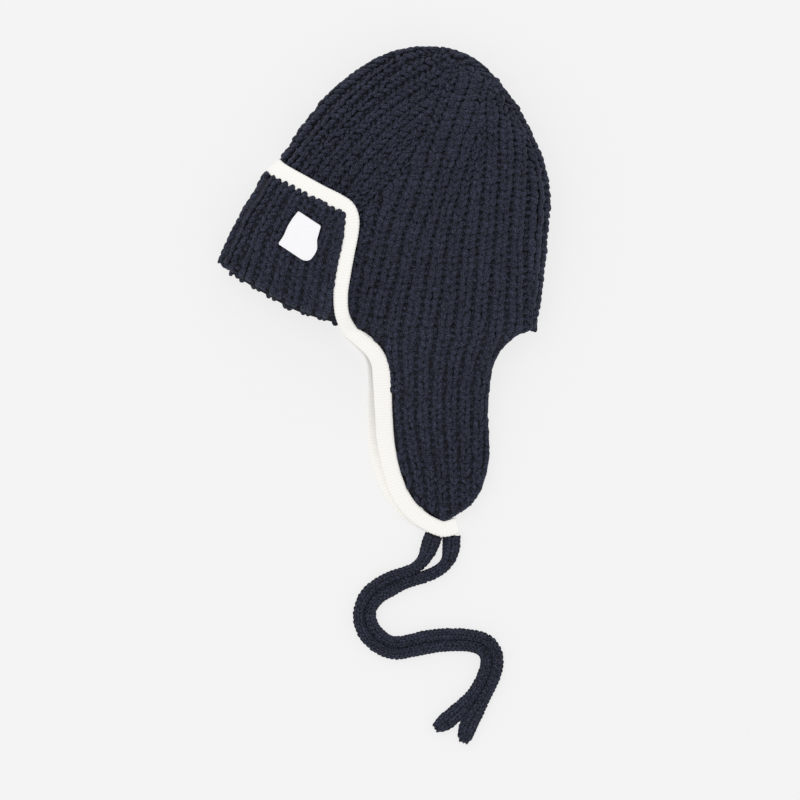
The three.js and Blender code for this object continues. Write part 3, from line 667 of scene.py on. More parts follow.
tieForm = {  # mm, degrees and shares
    "diameter": 8.0, "columns": 12, "rowPitch": 3.1, "firstRow": 0.6, "lastRow": 1.2,
    "core": 3.7, "coreSides": 12, "legRing": 3.85,  # half the core's width, and where the legs' middles lie
    "legSize": (1.05, 2.2, 0.95), "lean": 22.0, "proud": 10.0, "paired": 0.06,  # legs lie in pairs of columns
    "flareFrom": 7.0, "flare": 26.0, "flareBy": 0.6,  # wide up to the first, plain from the second on
    "tip": 13.0, "tipBy": 0.56, "tipSlim": 0.62, "tipSharp": 2.8, "flatten": 0.3,
    "stray": {"row": 0.15, "lean": 4, "place": 0.12, "plump": 0.05, "shade": 0.09},
}
tieRoutes = {  # x, y and where it lies on more than the floor z
    "tie_left": [
        (38, -184.5, 8.6), (35.5, -191, 6.2), (32.5, -199, 4.3), (28, -206), (21, -211.2), (12.5, -214),
        (1, -218.5), (-12, -228), (-18, -240), (-18, -251), (-13.5, -261.5), (-4, -270), (8, -274.4),
        (22, -272.4), (37, -269.5), (53, -268), (66, -268.7), (75, -272.2), (78.2, -279.5), (76, -290),
        (69.8, -302), (60.3, -314), (48.6, -325), (39, -331.3),
    ],
    "tie_right": [
        (51.5, -185, 4.3), (51.3, -193), (49.7, -201.5), (45.5, -208.3), (37.5, -213.5), (27, -217.4),
        (16, -221), (8, -225.2), (-3.1, -231.8), (-10, -241), (-9.4, -250.5), (-3.5, -259.4), (5.5, -265.4),
        (16, -265.3), (30, -261.8), (47, -260), (65, -260.6), (76.9, -263.6), (83.9, -270.1), (86.4, -279.6),
        (84.7, -290), (79.7, -301.5), (72.6, -314.5), (65, -327.5), (60.4, -341.8),
    ],
}


def knitTie(node):
    look, spread = tieForm, tieForm["stray"]
    rest = look["diameter"] / 2 + 0.1
    route = [(p[0], p[1], p[2] if len(p) > 2 else rest) for p in tieRoutes[node]]
    line, along = throughPoints(route, 1.0)
    tangent = unit(np.gradient(line, axis=0))
    side = unit(np.cross(tangent, [0, 0, 1]))
    over = np.cross(side, tangent)
    length = along[-1]

    def girthAt(place):  # how wide and how full the cord is at a place, against its plain girth
        flat = 1 + look["flareBy"] * (1 - smooth(look["flareFrom"], look["flare"], place))
        flat = flat + look["tipBy"] * smooth(length - 3 * look["tip"], length - 1.2 * look["tip"], place)
        end = np.clip((place - (length - look["tip"])) / look["tip"], 0, 1)
        tip = 1 - look["tipSlim"] * end ** look["tipSharp"]
        return flat * tip, np.sqrt(tip) * (1 - look["flatten"] * (flat - 1))

    wide, full = girthAt(along)
    turns = 2 * math.pi * np.arange(look["coreSides"]) / look["coreSides"]
    core = (line[:, None]
            + side[:, None] * (np.cos(turns)[None, :, None] * look["core"] * wide[:, None, None])
            + over[:, None] * (np.sin(turns)[None, :, None] * look["core"] * full[:, None, None]))
    rings, sides = core.shape[:2]
    # the cord's core, coloured as painted shade between its legs
    parts = [shadedGround(np.vstack([core.reshape(-1, 3), line[:1], line[-1:]]),
                        gridQuads(rings, sides, closed=True), tubeEnds(rings, sides), 0.08)]
    rows = int(length / look["rowPitch"])
    for column in range(look["columns"]):
        legSide = 1 if column % 2 else -1
        turn = 2 * math.pi * (column + 0.5 + look["paired"] * legSide) / look["columns"]
        places = (np.arange(rows) + look["firstRow"]) * look["rowPitch"] + stray(spread["row"], rows)
        places = places[places < length - look["lastRow"]]
        count = len(places)
        centre, ahead, sideways, upward = (
            sampled(places, along, table) for table in (line, tangent, side, over))
        wideHere, fullHere = girthAt(places)
        out = unit(sideways * math.cos(turn) + upward * math.sin(turn))
        lean = np.radians(look["lean"] + stray(spread["lean"], count))[:, None] * legSide
        proud = np.radians(look["proud"])
        leant = ahead * np.cos(lean) + np.cross(ahead, out) * np.sin(lean)
        centres = (centre + sideways * (math.cos(turn) * look["legRing"] * wideHere)[:, None]
                   + upward * (math.sin(turn) * look["legRing"] * fullHere)[:, None]
                   + stray(spread["place"], (count, 3)))
        plump = 1 + stray(spread["plump"], count)
        legWide, legLong, legHigh = look["legSize"]
        sizes = np.stack([legWide * wideHere * plump, np.full(count, legLong),
                          legHigh * np.sqrt(fullHere) * plump], -1)
        shade = 1 + stray(spread["shade"], count)
        parts.append(legs(centres, leant * np.cos(proud) - out * np.sin(proud), out, sizes, shade))
    piece = meshPiece(node + "_knit", parts, tieYarn)
    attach(piece, "root")
    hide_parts(node)
    print(f"{node}: {length:.1f} mm long")


for node in tieRoutes:
    knitTie(node)


# A row of legs along an edge: mm from its start, how far every second lane is set off, as a share of the
# pitch, how its legs face up by their rise, their lean in degrees, and over which mm the row sinks in
edgeLook = {"start": 1.0, "offset": 0.48, "outward": 0.64, "lean": 18, "sinks": (15, 65),
            "stray": {"lean": 4, "place": 0.15, "size": 0.05, "shade": 0.09}}


def edgeRow(points, rises, pitch, size, inset, startInset=None):  # lanes of legs, one for each rise; mm
    look, spread = edgeLook, edgeLook["stray"]
    path, along = throughPoints(points, 0.5)
    tangent = unit(np.gradient(path, axis=0))
    parts = []
    for lane, rise in enumerate(rises):
        places = np.arange(look["start"] + look["offset"] * pitch * (lane % 2), along[-1], pitch)
        count = len(places)
        centre, ahead = (sampled(places, along, table) for table in (path, tangent))
        out = -unit(np.cross(ahead, [0, 0, 1]))
        normal = unit(out + np.array([0, 0, look["outward"] * rise]))
        turn = np.radians(look["lean"] * np.sign(rise) + stray(spread["lean"], count))[:, None]
        leant = ahead * np.cos(turn) + np.cross(ahead, normal) * np.sin(turn)
        depth = inset
        if startInset is not None:
            depth = startInset + (inset - startInset) * smooth(*look["sinks"], places)[:, None]
        centre = centre - out * depth + np.array([0, 0, rise]) + stray(spread["place"], centre.shape)
        sizes = np.tile(size, (count, 1)) * (1 + stray(spread["size"], (count, 1)))
        parts.append(legs(centre, leant, normal, sizes, 1 + stray(spread["shade"], count)))
    return parts


# The crown: a thin ground in painted shade, closed at the top, and the ribs of stitches on it

ribPlan = {
    "foldRib": 10.0,  # mm, the width of the rib beside the back fold
    "spare": 4.2,  # mm, a rib narrower than this ends, and its neighbour takes its place
    "steady": 4,  # so many ribs behind the shaping line take in no other
    "widest": 15.0,  # mm
    "firstRow": 0.35,  # of the row's pitch, from the rim
    "topUp": 0.955,
    "underFlap": 0.035, "underFlapUp": 0.29,  # no stitches further in under the front flap, or lower
    "clear": 5.4,  # mm from the band's middle
}
# The valleys between the ribs, in plan; mm. At the front they climb at 45 degrees: how far up along that line
# from its start, then how far every valley lies behind it, the shaping line last.
frontStart = np.array([-77.5, 98.5])
frontValleys = np.array([
    (-7.5, 4.5, 16.6, 27.2, 37.7, 47.6, 56.6, 64.9, 73.2, 78),
    (19, 1.5, 12.8, 23.4, 34, 43, 51.3, 59.6, 66, 70.2),
    (41.5, -0.8, 11.3, 21.1, 31.7, 40.8, 48.3, 56.6, 64.9, 71.3),
    (64, -1.5, 10.6, 21.1, 30.2, 40, 48.3, 55.1, 61.2, 68.3),
    (87, -0.8, 11.3, 21.1, 31.7, 40.8, 48.3, 55.1, 60.4, 63.4),
    (109.5, 3, 13.6, 26.4, 36.2, 43.8, 50.6, 54, 54.4, 54.4),
    (132, 8, 20, 31.7, 39.3, 44, 46, 46, 46, 46),
], float)
# Behind the shaping line they climb nearly straight: y, then the x of the line and of every valley behind it
bodyValleys = np.array([
    (-21.6, -36, -21.6, -10.3, 1.8, 14.6, 27.5, 40.3, 53.9, 66.7, 78.8, 92.4, 107.5),
    (14.6, -26, -15.6, -2.7, 10.1, 21.4, 32.8, 45.6, 56.9, 69, 81.8, 93.9, 106.8),
    (38.8, -20, -9.5, 2.6, 15.4, 26.7, 37.3, 47.9, 59.2, 71.3, 83.4, 94.7, 106.8),
    (63, -13.3, -3.5, 9.4, 23, 35, 43.3, 53.9, 63, 73.5, 85.6, 96.2, 108.3),
    (87.1, 9.4, 5, 18.4, 29.7, 41.1, 50.9, 60.7, 66.7, 75, 87.1, 97.7, 109),
    (111.3, 26.7, 16, 24, 35.8, 47.9, 59.9, 68.3, 74, 77.3, 86, 99.2, 108),
    (135.4, 38.5, 30, 32, 45.6, 56.2, 67.5, 75.8, 75.8, 76.6, 87, 94, 98.5),
    (159.6, 49.4, 40, 42, 55.4, 66, 77.3, 79, 79, 79, 80, 81, 82),
], float)


def frontEdge(up):  # the front flap's side edge, as a share of the girth
    return 0.372 - 0.25 * up


archForm = {"high": 0.01, "from": (0.01, 0.07), "to": (0.13, 0.27)}  # shares of up and of the girth


def rimArch(share):  # how far up the rim is drawn under the front flap, on either side of the fold
    apart = np.minimum(np.mod(share, 2), 2 - np.mod(share, 2))
    return archForm["high"] * smooth(*archForm["from"], apart) * (1 - smooth(*archForm["to"], apart))


fineUp = np.linspace(0, 1, 201)
fineHalf = np.linspace(0, 1, 81)
halfGirth = np.array([runLength(crownPoint(fineHalf, up))[-1] for up in fineUp])


def valleyShare(x, y, distance=0):  # a valley's share of the girth at every row of the crown
    share, up = crownAt(x, y, np.full(len(x), float(distance)))
    order = np.argsort(up)
    return np.interp(fineUp, up[order], share[order])


foldShare = ribPlan["foldRib"] / np.maximum(halfGirth, 1)
spareShare = ribPlan["spare"] / np.maximum(halfGirth, 1)
alongFront = np.linspace(frontValleys[0, 0], frontValleys[-1, 0], 60)
slant = math.sqrt(0.5)
frontPlaces = rowAt(frontValleys, alongFront)[:, 1:]
frontLines = np.array([
    valleyShare(frontStart[0] + slant * (alongFront + places), frontStart[1] + slant * (alongFront - places))
    for places in frontPlaces.T])
upBody = np.linspace(bodyValleys[0, 0], bodyValleys[-1, 0], 80)
bodyPlaces = rowAt(bodyValleys, upBody)[:, 1:]
bodyLines = np.array([valleyShare(places, upBody) for places in bodyPlaces.T])
shapingLine = np.where(fineUp < 0.4, bodyLines[0], (bodyLines[0] + frontLines[-1]) / 2)
frontLines = np.clip(np.vstack([[0 * fineUp], frontLines[:-1], [shapingLine]]), 0, shapingLine)
bodyLines = np.clip(np.vstack([[shapingLine], bodyLines[1:], [1 - foldShare]]), shapingLine, 1 - foldShare)
bodyLines = np.vstack([bodyLines, [0 * fineUp + 1]])


def crownRib(section, number):
    # a rib's middle and width by fineUp, as shares of the girth, and the ups where it starts and ends
    lines = np.maximum.accumulate(frontLines if section == "front" else bodyLines)
    low, high = lines[number].copy(), lines[number + 1].copy()
    low = np.where(low - lines[0] < spareShare, lines[0], low)
    if section == "front" or number > ribPlan["steady"]:
        reached = np.ones(len(fineUp), bool)
        for j in range(number + 1, len(lines) - 1):  # it takes in the ribs behind it that have ended
            reached &= lines[j + 1] - lines[j] < spareShare
            high = np.where(reached, lines[j + 1], high)
    alive = high - low > spareShare * 0.95
    first = int(np.argmax(alive))
    ended = np.flatnonzero(~alive[first:])
    last = first + (int(ended[0]) if len(ended) else len(fineUp)) - 1
    top = min(fineUp[last], ribPlan["topUp"]) if alive.any() else -1
    return (low + high) / 2, high - low, fineUp[first], top


# The gathered top is a small round of legs drawn in by the last yarn. Then comes the row over both folds:
# girth, from and to which up, how many points, how far in its end lies, and between which ups it comes out.
gatherForm = {"legs": 9, "in": 0.9, "size": (2.6, 3.4, 2.0), "facing": (0.0, 0.9, 0.25), "shadeStray": 0.08}
overTop = ((0, 0.385, 0.985, 30, 1.6, (0.42, 0.6)), (1, 0.985, 0.52, 24, 1.8, (0.5, 0.85)))


def crownStitches():
    look, plan = stitchLook, ribPlan
    upper, under = [], []
    ribs = [("front", number) for number in range(len(frontLines) - 1)]
    for section, number in ribs + [("body", number) for number in range(len(bodyLines) - 1)]:
        s, width, bottom, top = crownRib(section, number)
        for side, parts in ((1, upper), (-1, under)):
            along = runLength(crownPoint(s if side > 0 else 2 - s, fineUp))
            start, reach = np.interp([bottom, top], fineUp, along)
            ups = np.interp(np.arange(start + plan["firstRow"] * look["rowPitch"], reach, look["rowPitch"]),
                            along, fineUp)
            here, share, pitch = (np.interp(ups, fineUp, table) for table in (s, width, width * halfGirth))
            pitch = np.minimum(pitch, plan["widest"])
            covered = (here < frontEdge(ups) - plan["underFlap"]) & (ups < plan["underFlapUp"])
            ups, here, share, pitch = (values[~covered] for values in (ups, here, share, pitch))
            if len(ups) < 2:
                continue
            girth = here if side > 0 else 2 - here
            legShare = share * look["legApart"]
            middle, left, right, valley = (
                crownPoint(girth + side * by, ups) for by in (0 * share, -legShare, legShare, share / 2))
            normals = crownNormal(girth, ups)
            parts += ribLegs(middle, left, right, normals, pitch, sunkAt(normals),
                             lambda place: clearOfBand(place, plan["clear"]), valley)
    gather, count = gatherForm, gatherForm["legs"]
    girths = 2 * np.arange(count) / count
    centres = crownPoint(girths, crownForm["roundedTop"])
    out = unit(crownNormal(girths, 0.95) * 0.5 + np.array(gather["facing"]))
    upper.append(legs(centres - out * gather["in"], unit(apex - centres), out,
                      np.tile(gather["size"], (count, 1)), 1 + stray(gather["shadeStray"], count)))
    points = []
    for girth, start, end, count, depth, rising in overTop:
        ups = np.linspace(start, end, count)
        points.append(crownOffset(np.full(count, girth), ups, depth * smooth(*rising, ups) - depth))
    return upper + edgeRow(np.vstack(points), (2.6, 0.0, -2.6), 5.0, (2.0, 3.1, 1.9), 1.3), under


insideForm = {"ribs": 40, "start": 2.5, "end": 82, "mmPerUp": 264, "narrower": 0.98}  # mm from the rim


def crownInside():  # the rib's other face, seen through the rim
    look, form = stitchLook, insideForm
    half = form["ribs"] / 2
    parts = []
    for number in range(form["ribs"]):
        place = (number + 0.5) / half
        rows = np.arange(form["start"] + form["mmPerUp"] * rimArch(place), form["end"], look["rowPitch"])
        ups = np.interp(rows, runLength(crownPoint(place, fineUp)), fineUp)
        girth, share = np.full_like(ups, place), look["legApart"] / half
        middle, left, right = (
            crownOffset(girth + aside, ups, -crownForm["wall"]) for aside in (0, share, -share))
        pitch = np.interp(ups, fineUp, halfGirth) / half
        parts += ribLegs(middle, left, right, -crownNormal(girth, ups), pitch * form["narrower"],
                         np.full_like(ups, look["sunk"]))
    return parts


groundForm = {"inner": 4.1, "lowest": 1.2, "innerLowest": 2.3, "apexIn": 1.5,  # mm
              "thinTop": (0.85, 0.97)}  # it thins between these shares of the way up


def crownGround():
    form, columns = groundForm, 200
    girths = 2 * np.arange(columns) / columns
    start = rimArch(girths)
    outerUps = np.concatenate([np.linspace(0, 0.88, 45), [0.91, 0.935, 0.955, 0.97]])
    innerUps = np.concatenate([np.linspace(0, 0.78, 30), [0.81, 0.84]])

    def rings(ups, depths, lowest):
        grid = np.array([crownOffset(girths, np.maximum(up, start), np.full(columns, -depth))
                         for up, depth in zip(ups, depths)])
        grid[..., 2] = np.maximum(grid[..., 2], lowest)
        return grid

    depths = stitchLook["ground"] * (1 - 0.5 * smooth(*form["thinTop"], outerUps))
    outer = rings(outerUps, depths, form["lowest"])
    inner = rings(innerUps, np.full(len(innerUps), form["inner"]), form["innerLowest"])
    outerCount, count = outer[..., 0].size, outer[..., 0].size + inner[..., 0].size
    points = np.vstack([outer.reshape(-1, 3), inner.reshape(-1, 3), [apex - [0, form["apexIn"], 0]],
                        [inner[-1].mean(0)]])
    here, ahead = np.arange(columns), (np.arange(columns) + 1) % columns
    quads = np.vstack([
        gridQuads(len(outerUps), columns, closed=True),
        gridQuads(len(innerUps), columns, closed=True)[:, ::-1] + outerCount,
        np.stack([ahead, here, outerCount + here, outerCount + ahead], -1),
    ])
    lastOuter, lastInner = outerCount - columns, count - columns
    tris = np.vstack([
        np.stack([lastOuter + here, lastOuter + ahead, np.full(columns, count)], -1),
        np.stack([lastInner + ahead, lastInner + here, np.full(columns, count + 1)], -1),
    ])
    return shadedGround(points, quads, tris)


# The earflaps: the crown's ribs run on, cut off by the curved edges

# down, x of the valley behind the middle rib, pitch of the ribs; mm
flapRibRows = np.array([
    (0, 53.7, 13.0), (21, 49.4, 12.4), (46, 46.4, 10.9), (71, 45.6, 10.6), (96, 47.1, 10.0), (119, 48.6, 8.9),
    (149, 49.6, 8.2),
])
# How many ribs lie ahead of that valley and behind it, and the first row as a share of the row's pitch. The
# rest are mm, and leftOut is the height that marks a place without a leg.
flapRibs = {"ahead": 8, "behind": 6, "firstRow": 0.6, "margin": 1.2, "clear": 7.0, "leftOut": -99}


def earflapStitches(side):
    look, plan = stitchLook, flapRibs
    outerParts, innerParts = [], []
    fineDown = np.linspace(-2, earflapForm["long"], 152)
    _, valleyX, pitch = rowAt(flapRibRows, np.maximum(fineDown, 0)).T
    row = rowAt(earflapRows, np.maximum(fineDown, 0))
    width = row[:, 3] - row[:, 1]
    for number in range(-plan["ahead"], plan["behind"]):
        for face, parts in ((1, outerParts), (-1, innerParts)):  # 1 is the outer face of the hat
            across = (valleyX + (number + 0.5 if face > 0 else number) * pitch - row[:, 1]) / width
            along = runLength(earflapPoint(side, np.clip(across, 0, 1), fineDown))
            rows = np.arange(plan["firstRow"] * look["rowPitch"], along[-1], look["rowPitch"])
            downs = np.interp(rows, along, fineDown)
            here, pitchHere, widthHere = (np.interp(downs, fineDown, v) for v in (across, pitch, width))
            legAcross, margin = pitchHere * look["legApart"] / widthHere, plan["margin"] / widthHere
            inside = (here + legAcross > margin) & (here - legAcross < 1 - margin)
            if inside.sum() < 2:
                continue
            downs, here, pitchHere, widthHere, legAcross, margin = (
                values[inside] for values in (downs, here, pitchHere, widthHere, legAcross, margin))
            spots = (here, here - legAcross, here + legAcross, here + pitchHere * 0.5 / widthHere)
            places = [earflapPoint(side, spot, downs) for spot in spots]
            for spot, place in zip(spots[1:], places[1:]):
                place[(spot < margin) | (spot > 1 - 2 * margin), 2] = plan["leftOut"]
            downward = earflapPoint(side, here, downs + 0.5) - earflapPoint(side, here, downs - 0.5)
            sideways = earflapPoint(side, here + 0.01, downs) - earflapPoint(side, here - 0.01, downs)
            outward = unit(np.cross(sideways, -downward)) * side
            if face < 0:
                places = [place - outward * crownForm["wall"] for place in places]
                outward = -outward
            # The rib runs downwards here, so it is turned round to climb like the crown's
            middle, left, right, valley, normals, pitches = (v[::-1] for v in (*places, outward, pitchHere))
            if outward[0, 2] <= 0:
                left, right = right, left
            sunk = look["sunkUnder"] if side < 0 < face else look["sunk"]
            parts += ribLegs(
                middle, left, right, normals, pitches, np.full(len(downs), sunk),
                lambda place: (place[:, 2] > plan["leftOut"] / 2) & clearOfBand(place, plan["clear"]), valley)
    return outerParts, innerParts


def earflapEdges(side):  # plain selvedge legs down the back edge, and along the nape
    half, down = crownForm["wall"] / 2, earflapForm["long"]
    back = earflapPoint(side, np.ones(300), np.linspace(0, down, 300))
    tip = earflapPoint(side, np.linspace(1, 0.2, 10), np.full(10, float(down)))
    for line in (back, tip):
        line[:, 2] -= side * half
    girths = np.linspace(1, 0.957, 20)
    nape = crownOffset(girths if side > 0 else 2 - girths, np.zeros(20), np.full(20, -half))
    return edgeRow(np.vstack([nape[::4], back[4::12], tip[2::3]]), (1.25, -1.25), 4.6, (1.9, 3.1, 1.8), 0.8)


def earflapGround(side, depth=1.9, border=0.012):
    downs = np.concatenate([[-6.0, -3.0], np.linspace(0, earflapForm["long"], 60)])
    across = np.linspace(border, 1 - border, 40)
    face = np.array([earflapPoint(side, across, np.full(len(across), down)) for down in downs])
    face[:2, :, 1] += -downs[:2, None]
    outer, inner = face.copy(), face.copy()
    outer[..., 2] -= side * depth
    inner[..., 2] -= side * (crownForm["wall"] - depth)
    return shadedGround(*(closedSheet(outer, inner) if side > 0 else closedSheet(inner, outer)))


upperParts, underParts = crownStitches()
crownPieces = [
    ("crown_ground", [crownGround(), earflapGround(1), earflapGround(-1)]),
    ("crown_ribs_upper", upperParts),
    ("crown_ribs_under", underParts),
    ("crown_ribs_inside", crownInside()),
]
for side, label in ((1, "upper"), (-1, "under")):
    outerParts, innerParts = earflapStitches(side)
    crownPieces.append(("earflap_ribs_" + label, outerParts + innerParts + earflapEdges(side)))
for name, parts in crownPieces:
    piece = meshPiece(name, parts, darkYarn)
    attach(piece, "root")
    if name == "crown_ground":
        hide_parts("crown")
print("crown and earflaps knitted")


# The turned-up front flap: its own ribs, rolled over the bottom fold

flapOuter = crownForm["seat"] + crownForm["flapThick"]  # mm from the crown to the flap's outer face
frontForm = {  # mm and shares
    "topUp": 0.352, "foldUp": 0.022,
    "foldPlump": 1.8, "plumpShare": 0.12, "plumpUp": (0.17, 0.25),  # its fold is fuller in the lower half
    "firstRow": 0.3, "wider": 1.1, "margin": 1.6,
    "foldSunk": 1.2, "foldSunkUp": (0.02, 0.24),  # the legs beside the front fold lie further in
    "roll": 2.4, "rollDegrees": (-28, -62, -98, -134, -168), "rollLong": 3.0, "rollHigh": 2.0,
    "rollLean": 0.7, "rollStray": 0.2,
    "ground": 1.9, "groundLow": 0.4, "groundEnd": 0.335, "groundEndFold": 0.036, "groundWall": 3.4,
    "groundRoll": 1.0, "groundLowest": 1.4, "groundInnerLowest": 2.4, "rimIn": 6.0, "rimSeat": 1.6,
}
# The valleys between its ribs, in plan, measured from its middle: how far up along a line that leans 14
# degrees to the right, then how far every valley lies to the right of it; mm
flapMiddle = np.array([-70.7, 31.3])
flapLean = math.radians(14)
flapValleys = np.array([
    (-36, -49, -36, -21, -8.6, 5.4, 17.6, 29.8, 42.6),
    (-15.1, -45.3, -34, -18.9, -7.6, 4.5, 16.6, 28.7, 40),
    (0, -42.3, -31, -18.9, -6.8, 4.9, 16.2, 27.9, 38.5),
    (15.1, -39.3, -28.7, -16.6, -4.5, 6.8, 18.1, 27.9, 37.4),
    (30.2, -34.7, -24.2, -12.8, -1.5, 9.8, 21.1, 28.7, 37),
    (52, -28.5, -18, -6.8, 3.6, 13, 23, 30, 36.2),
], float)
# The knit's edge over the band, in plan: along the top from the front fold, then down the back edge; mm
frontOutline = np.array([(-96, 93), (-89.9, 89.8), (-28.4, 56.9), (-29.5, 46.4), (-32.2, 29.7), (-35.2, 15.8),
                         (-37.4, 1.8), (-38.2, -11), (-37.5, -40)], float)


def withinFront(points, margin):
    inside = np.ones(len(points), bool)
    (ax, ay), (bx, by) = frontOutline[1], frontOutline[2]
    along = math.hypot(bx - ax, by - ay)
    inside &= ((bx - ax) * (points[:, 1] - ay) - (by - ay) * (points[:, 0] - ax)) / along < -margin
    edge = np.interp(-points[:, 1], -frontOutline[2:, 1], frontOutline[2:, 0])
    return inside & (points[:, 0] < edge - margin)


def flapLines():  # the valleys, the front fold first, as shares of the girth at every row of the crown
    along = np.linspace(flapValleys[0, 0], flapValleys[-1, 0], 50)
    lines = [0 * fineUp]
    for places in rowAt(flapValleys, along)[:, 1:].T:
        x = flapMiddle[0] + places * math.cos(flapLean) + along * math.sin(flapLean)
        y = flapMiddle[1] - places * math.sin(flapLean) + along * math.cos(flapLean)
        lines.append(valleyShare(x, y, flapOuter))
    return np.maximum.accumulate(lines)


def foldPlump(share, up):
    aside = smooth(0.0, frontForm["plumpShare"], np.abs(share))
    return frontForm["foldPlump"] * (1 - aside) * (1 - smooth(*frontForm["plumpUp"], up))


def frontFlap():
    look, form = stitchLook, frontForm
    lines = flapLines()
    parts = []
    for number, turned in [(number, turned) for number in range(len(lines) - 1) for turned in (1, -1)]:
        shareLine = (lines[number] + lines[number + 1]) / 2 * turned
        widthLine = (lines[number + 1] - lines[number]) * turned
        fine = np.linspace(form["foldUp"] + rimArch(shareLine[4]), form["topUp"], 80)
        along = runLength(crownOffset(np.interp(fine, fineUp, shareLine), fine, np.full(80, flapOuter)))
        rows = np.arange(form["firstRow"] * look["rowPitch"], along[-1], look["rowPitch"])
        ups = np.interp(rows, along, fine)
        share, width = (np.interp(ups, fineUp, table) for table in (shareLine, widthLine))
        pitch = np.interp(ups, fineUp, halfGirth) * np.abs(width) * form["wider"]
        legShare = look["legApart"] * width
        outer = flapOuter + foldPlump(share, ups)
        middle, left, right, valley = (
            crownOffset(share + aside, ups, outer) for aside in (0 * share, -legShare, legShare, width / 2))
        if turned < 0:
            left, right = right, left
        normals = crownNormal(share, ups)
        beside = np.abs(normals[:, 2]) < 0.5
        sunk = sunkAt(normals) + form["foldSunk"] * beside * smooth(*form["foldSunkUp"], ups)
        parts += ribLegs(middle, left, right, normals, pitch, sunk,
                         lambda place: withinFront(place, form["margin"]), valley)
        parts += bottomRoll(share[0], abs(legShare[0]), pitch[0])
    climb = np.linspace(form["foldUp"], 0.3, 20)
    fold = crownOffset(np.zeros(20), climb, flapOuter + foldPlump(0 * climb, climb))
    return parts + flapHem() + edgeRow(fold, (0.0,), 5.2, (1.7, 3.0, 1.6), 3.5, 0.9)


def bottomRoll(share, legShare, pitch):  # legs over the bottom fold, down and round to the crown's rim
    look, form = stitchLook, frontForm
    up = form["foldUp"] + rimArch(share)
    normal = crownNormal(share, up)
    upward = unit(crownPoint(share, up + 0.02) - crownPoint(share, up))
    centreOut = (flapOuter - crownForm["wall"]) / 2
    reachOut = (flapOuter + crownForm["wall"]) / 2 - look["sunk"]
    angles = np.radians(form["rollDegrees"])[:, None]
    outs = unit(normal * np.cos(angles) / reachOut + upward * np.sin(angles) / form["roll"])
    going = unit(normal * -np.sin(angles) * reachOut + upward * np.cos(angles) * form["roll"])
    sizes = np.tile([pitch * look["legWide"], form["rollLong"], form["rollHigh"]], (len(angles), 1))
    parts = []
    for legSide in (-1, 1):
        base = crownPoint(share + legSide * legShare, up)
        centres = (base + normal * (centreOut + reachOut * np.cos(angles))
                   + upward * (form["roll"] * np.sin(angles)))
        lean = math.radians(look["lean"] * form["rollLean"]) * legSide
        leant = going * math.cos(lean) + np.cross(going, outs) * math.sin(lean)
        parts.append(legs(centres + stray(form["rollStray"], centres.shape), leant, outs, sizes,
                          1 + stray(stitchStray["shade"], len(angles))))
    return parts


hemLook = {"start": 0.6, "in": 1.2, "under": 0.9, "size": (2.3, 3.1, 1.9),
           "stray": {"row": 0.3, "turn": 7, "size": 0.08, "shade": 0.1}}
# The edge stitches bite over the band, at the top across it and down the side along it: the points that they
# run through in plan, how far apart they lie and how far they turn in; mm and degrees
hemEdges = (([(-88, 88.8), (-60, 73.8), (-31, 58.3)], 5.6, 68), (frontOutline[2:7], 5.2, 14))


def flapHem():
    look, spread = hemLook, hemLook["stray"]
    parts = []
    for points, pitch, turned in hemEdges:
        path, along = throughPoints(points, 0.5)
        places = np.arange(look["start"], along[-1], pitch)
        count = len(places)
        places = places + stray(spread["row"], count)
        spot, ahead = (sampled(places, along, table) for table in (path, unit(np.gradient(path, axis=0))))
        inward = np.stack([ahead[:, 1], -ahead[:, 0]], -1)
        spot = spot + inward * look["in"]
        centres, normals = overCrown(spot[:, 0], spot[:, 1], np.full(count, flapOuter - look["under"]))
        ahead, inward = (np.column_stack([way, np.zeros(count)]) for way in (ahead, inward))
        turn = np.radians(turned + stray(spread["turn"], count))[:, None]
        sizes = np.tile(look["size"], (count, 1)) * (1 + stray(spread["size"], (count, 1)))
        parts.append(legs(centres, ahead * np.cos(turn) - inward * np.sin(turn), normals, sizes,
                          1 + stray(spread["shade"], count)))
    return parts


def frontGround():
    form, rows, columns = frontForm, 40, 120
    shares = np.linspace(1, -1, columns)
    rim = shares * frontEdge(form["foldUp"])
    start = form["foldUp"] + rimArch(rim)
    # at the front fold it stops lower, so that it stays under the band
    end = form["groundEnd"] - form["groundEndFold"] * (1 - smooth(0.16, 0.42, np.abs(shares)))
    ups = start + (end - start) * np.linspace(0, 1, rows)[:, None]

    def sheet(distance, lowest):
        girths = [shares * frontEdge(up) for up in ups]
        grid = np.array([crownOffset(s, up, distance + foldPlump(s, up)) for s, up in zip(girths, ups)])
        grid[..., 2] = np.maximum(grid[..., 2], lowest)
        return grid

    outerBy, wall = flapOuter - form["ground"], form["groundWall"]
    outer = sheet(outerBy, form["groundLowest"])
    inner = sheet(crownForm["seat"] + form["groundLow"], form["groundInnerLowest"])
    # the fold: a few rows that run from the outer sheet round below the rim to the crown's inside
    base, normal = crownPoint(rim, start), crownNormal(rim, start)
    upward = unit(crownPoint(rim, start + 0.02) - base)
    roll = np.array([
        base + normal * ((outerBy - wall) / 2 + (outerBy + wall) / 2 * math.cos(angle))
        + upward * (form["groundRoll"] * math.sin(angle)) for angle in np.radians(range(-180, 0, 30))])
    roll[..., 2] = np.maximum(roll[..., 2], form["groundLowest"])
    insideRim = base + normal * -wall + upward * form["rimIn"]
    throughRim = base + normal * (crownForm["seat"] - form["rimSeat"]) + upward * form["rimIn"]
    outward = np.concatenate([[insideRim], roll, outer])
    inward = np.concatenate([[throughRim], np.repeat(inner[:1], len(roll), 0) + upward[None], inner])
    return shadedGround(*closedSheet(outward, inward))


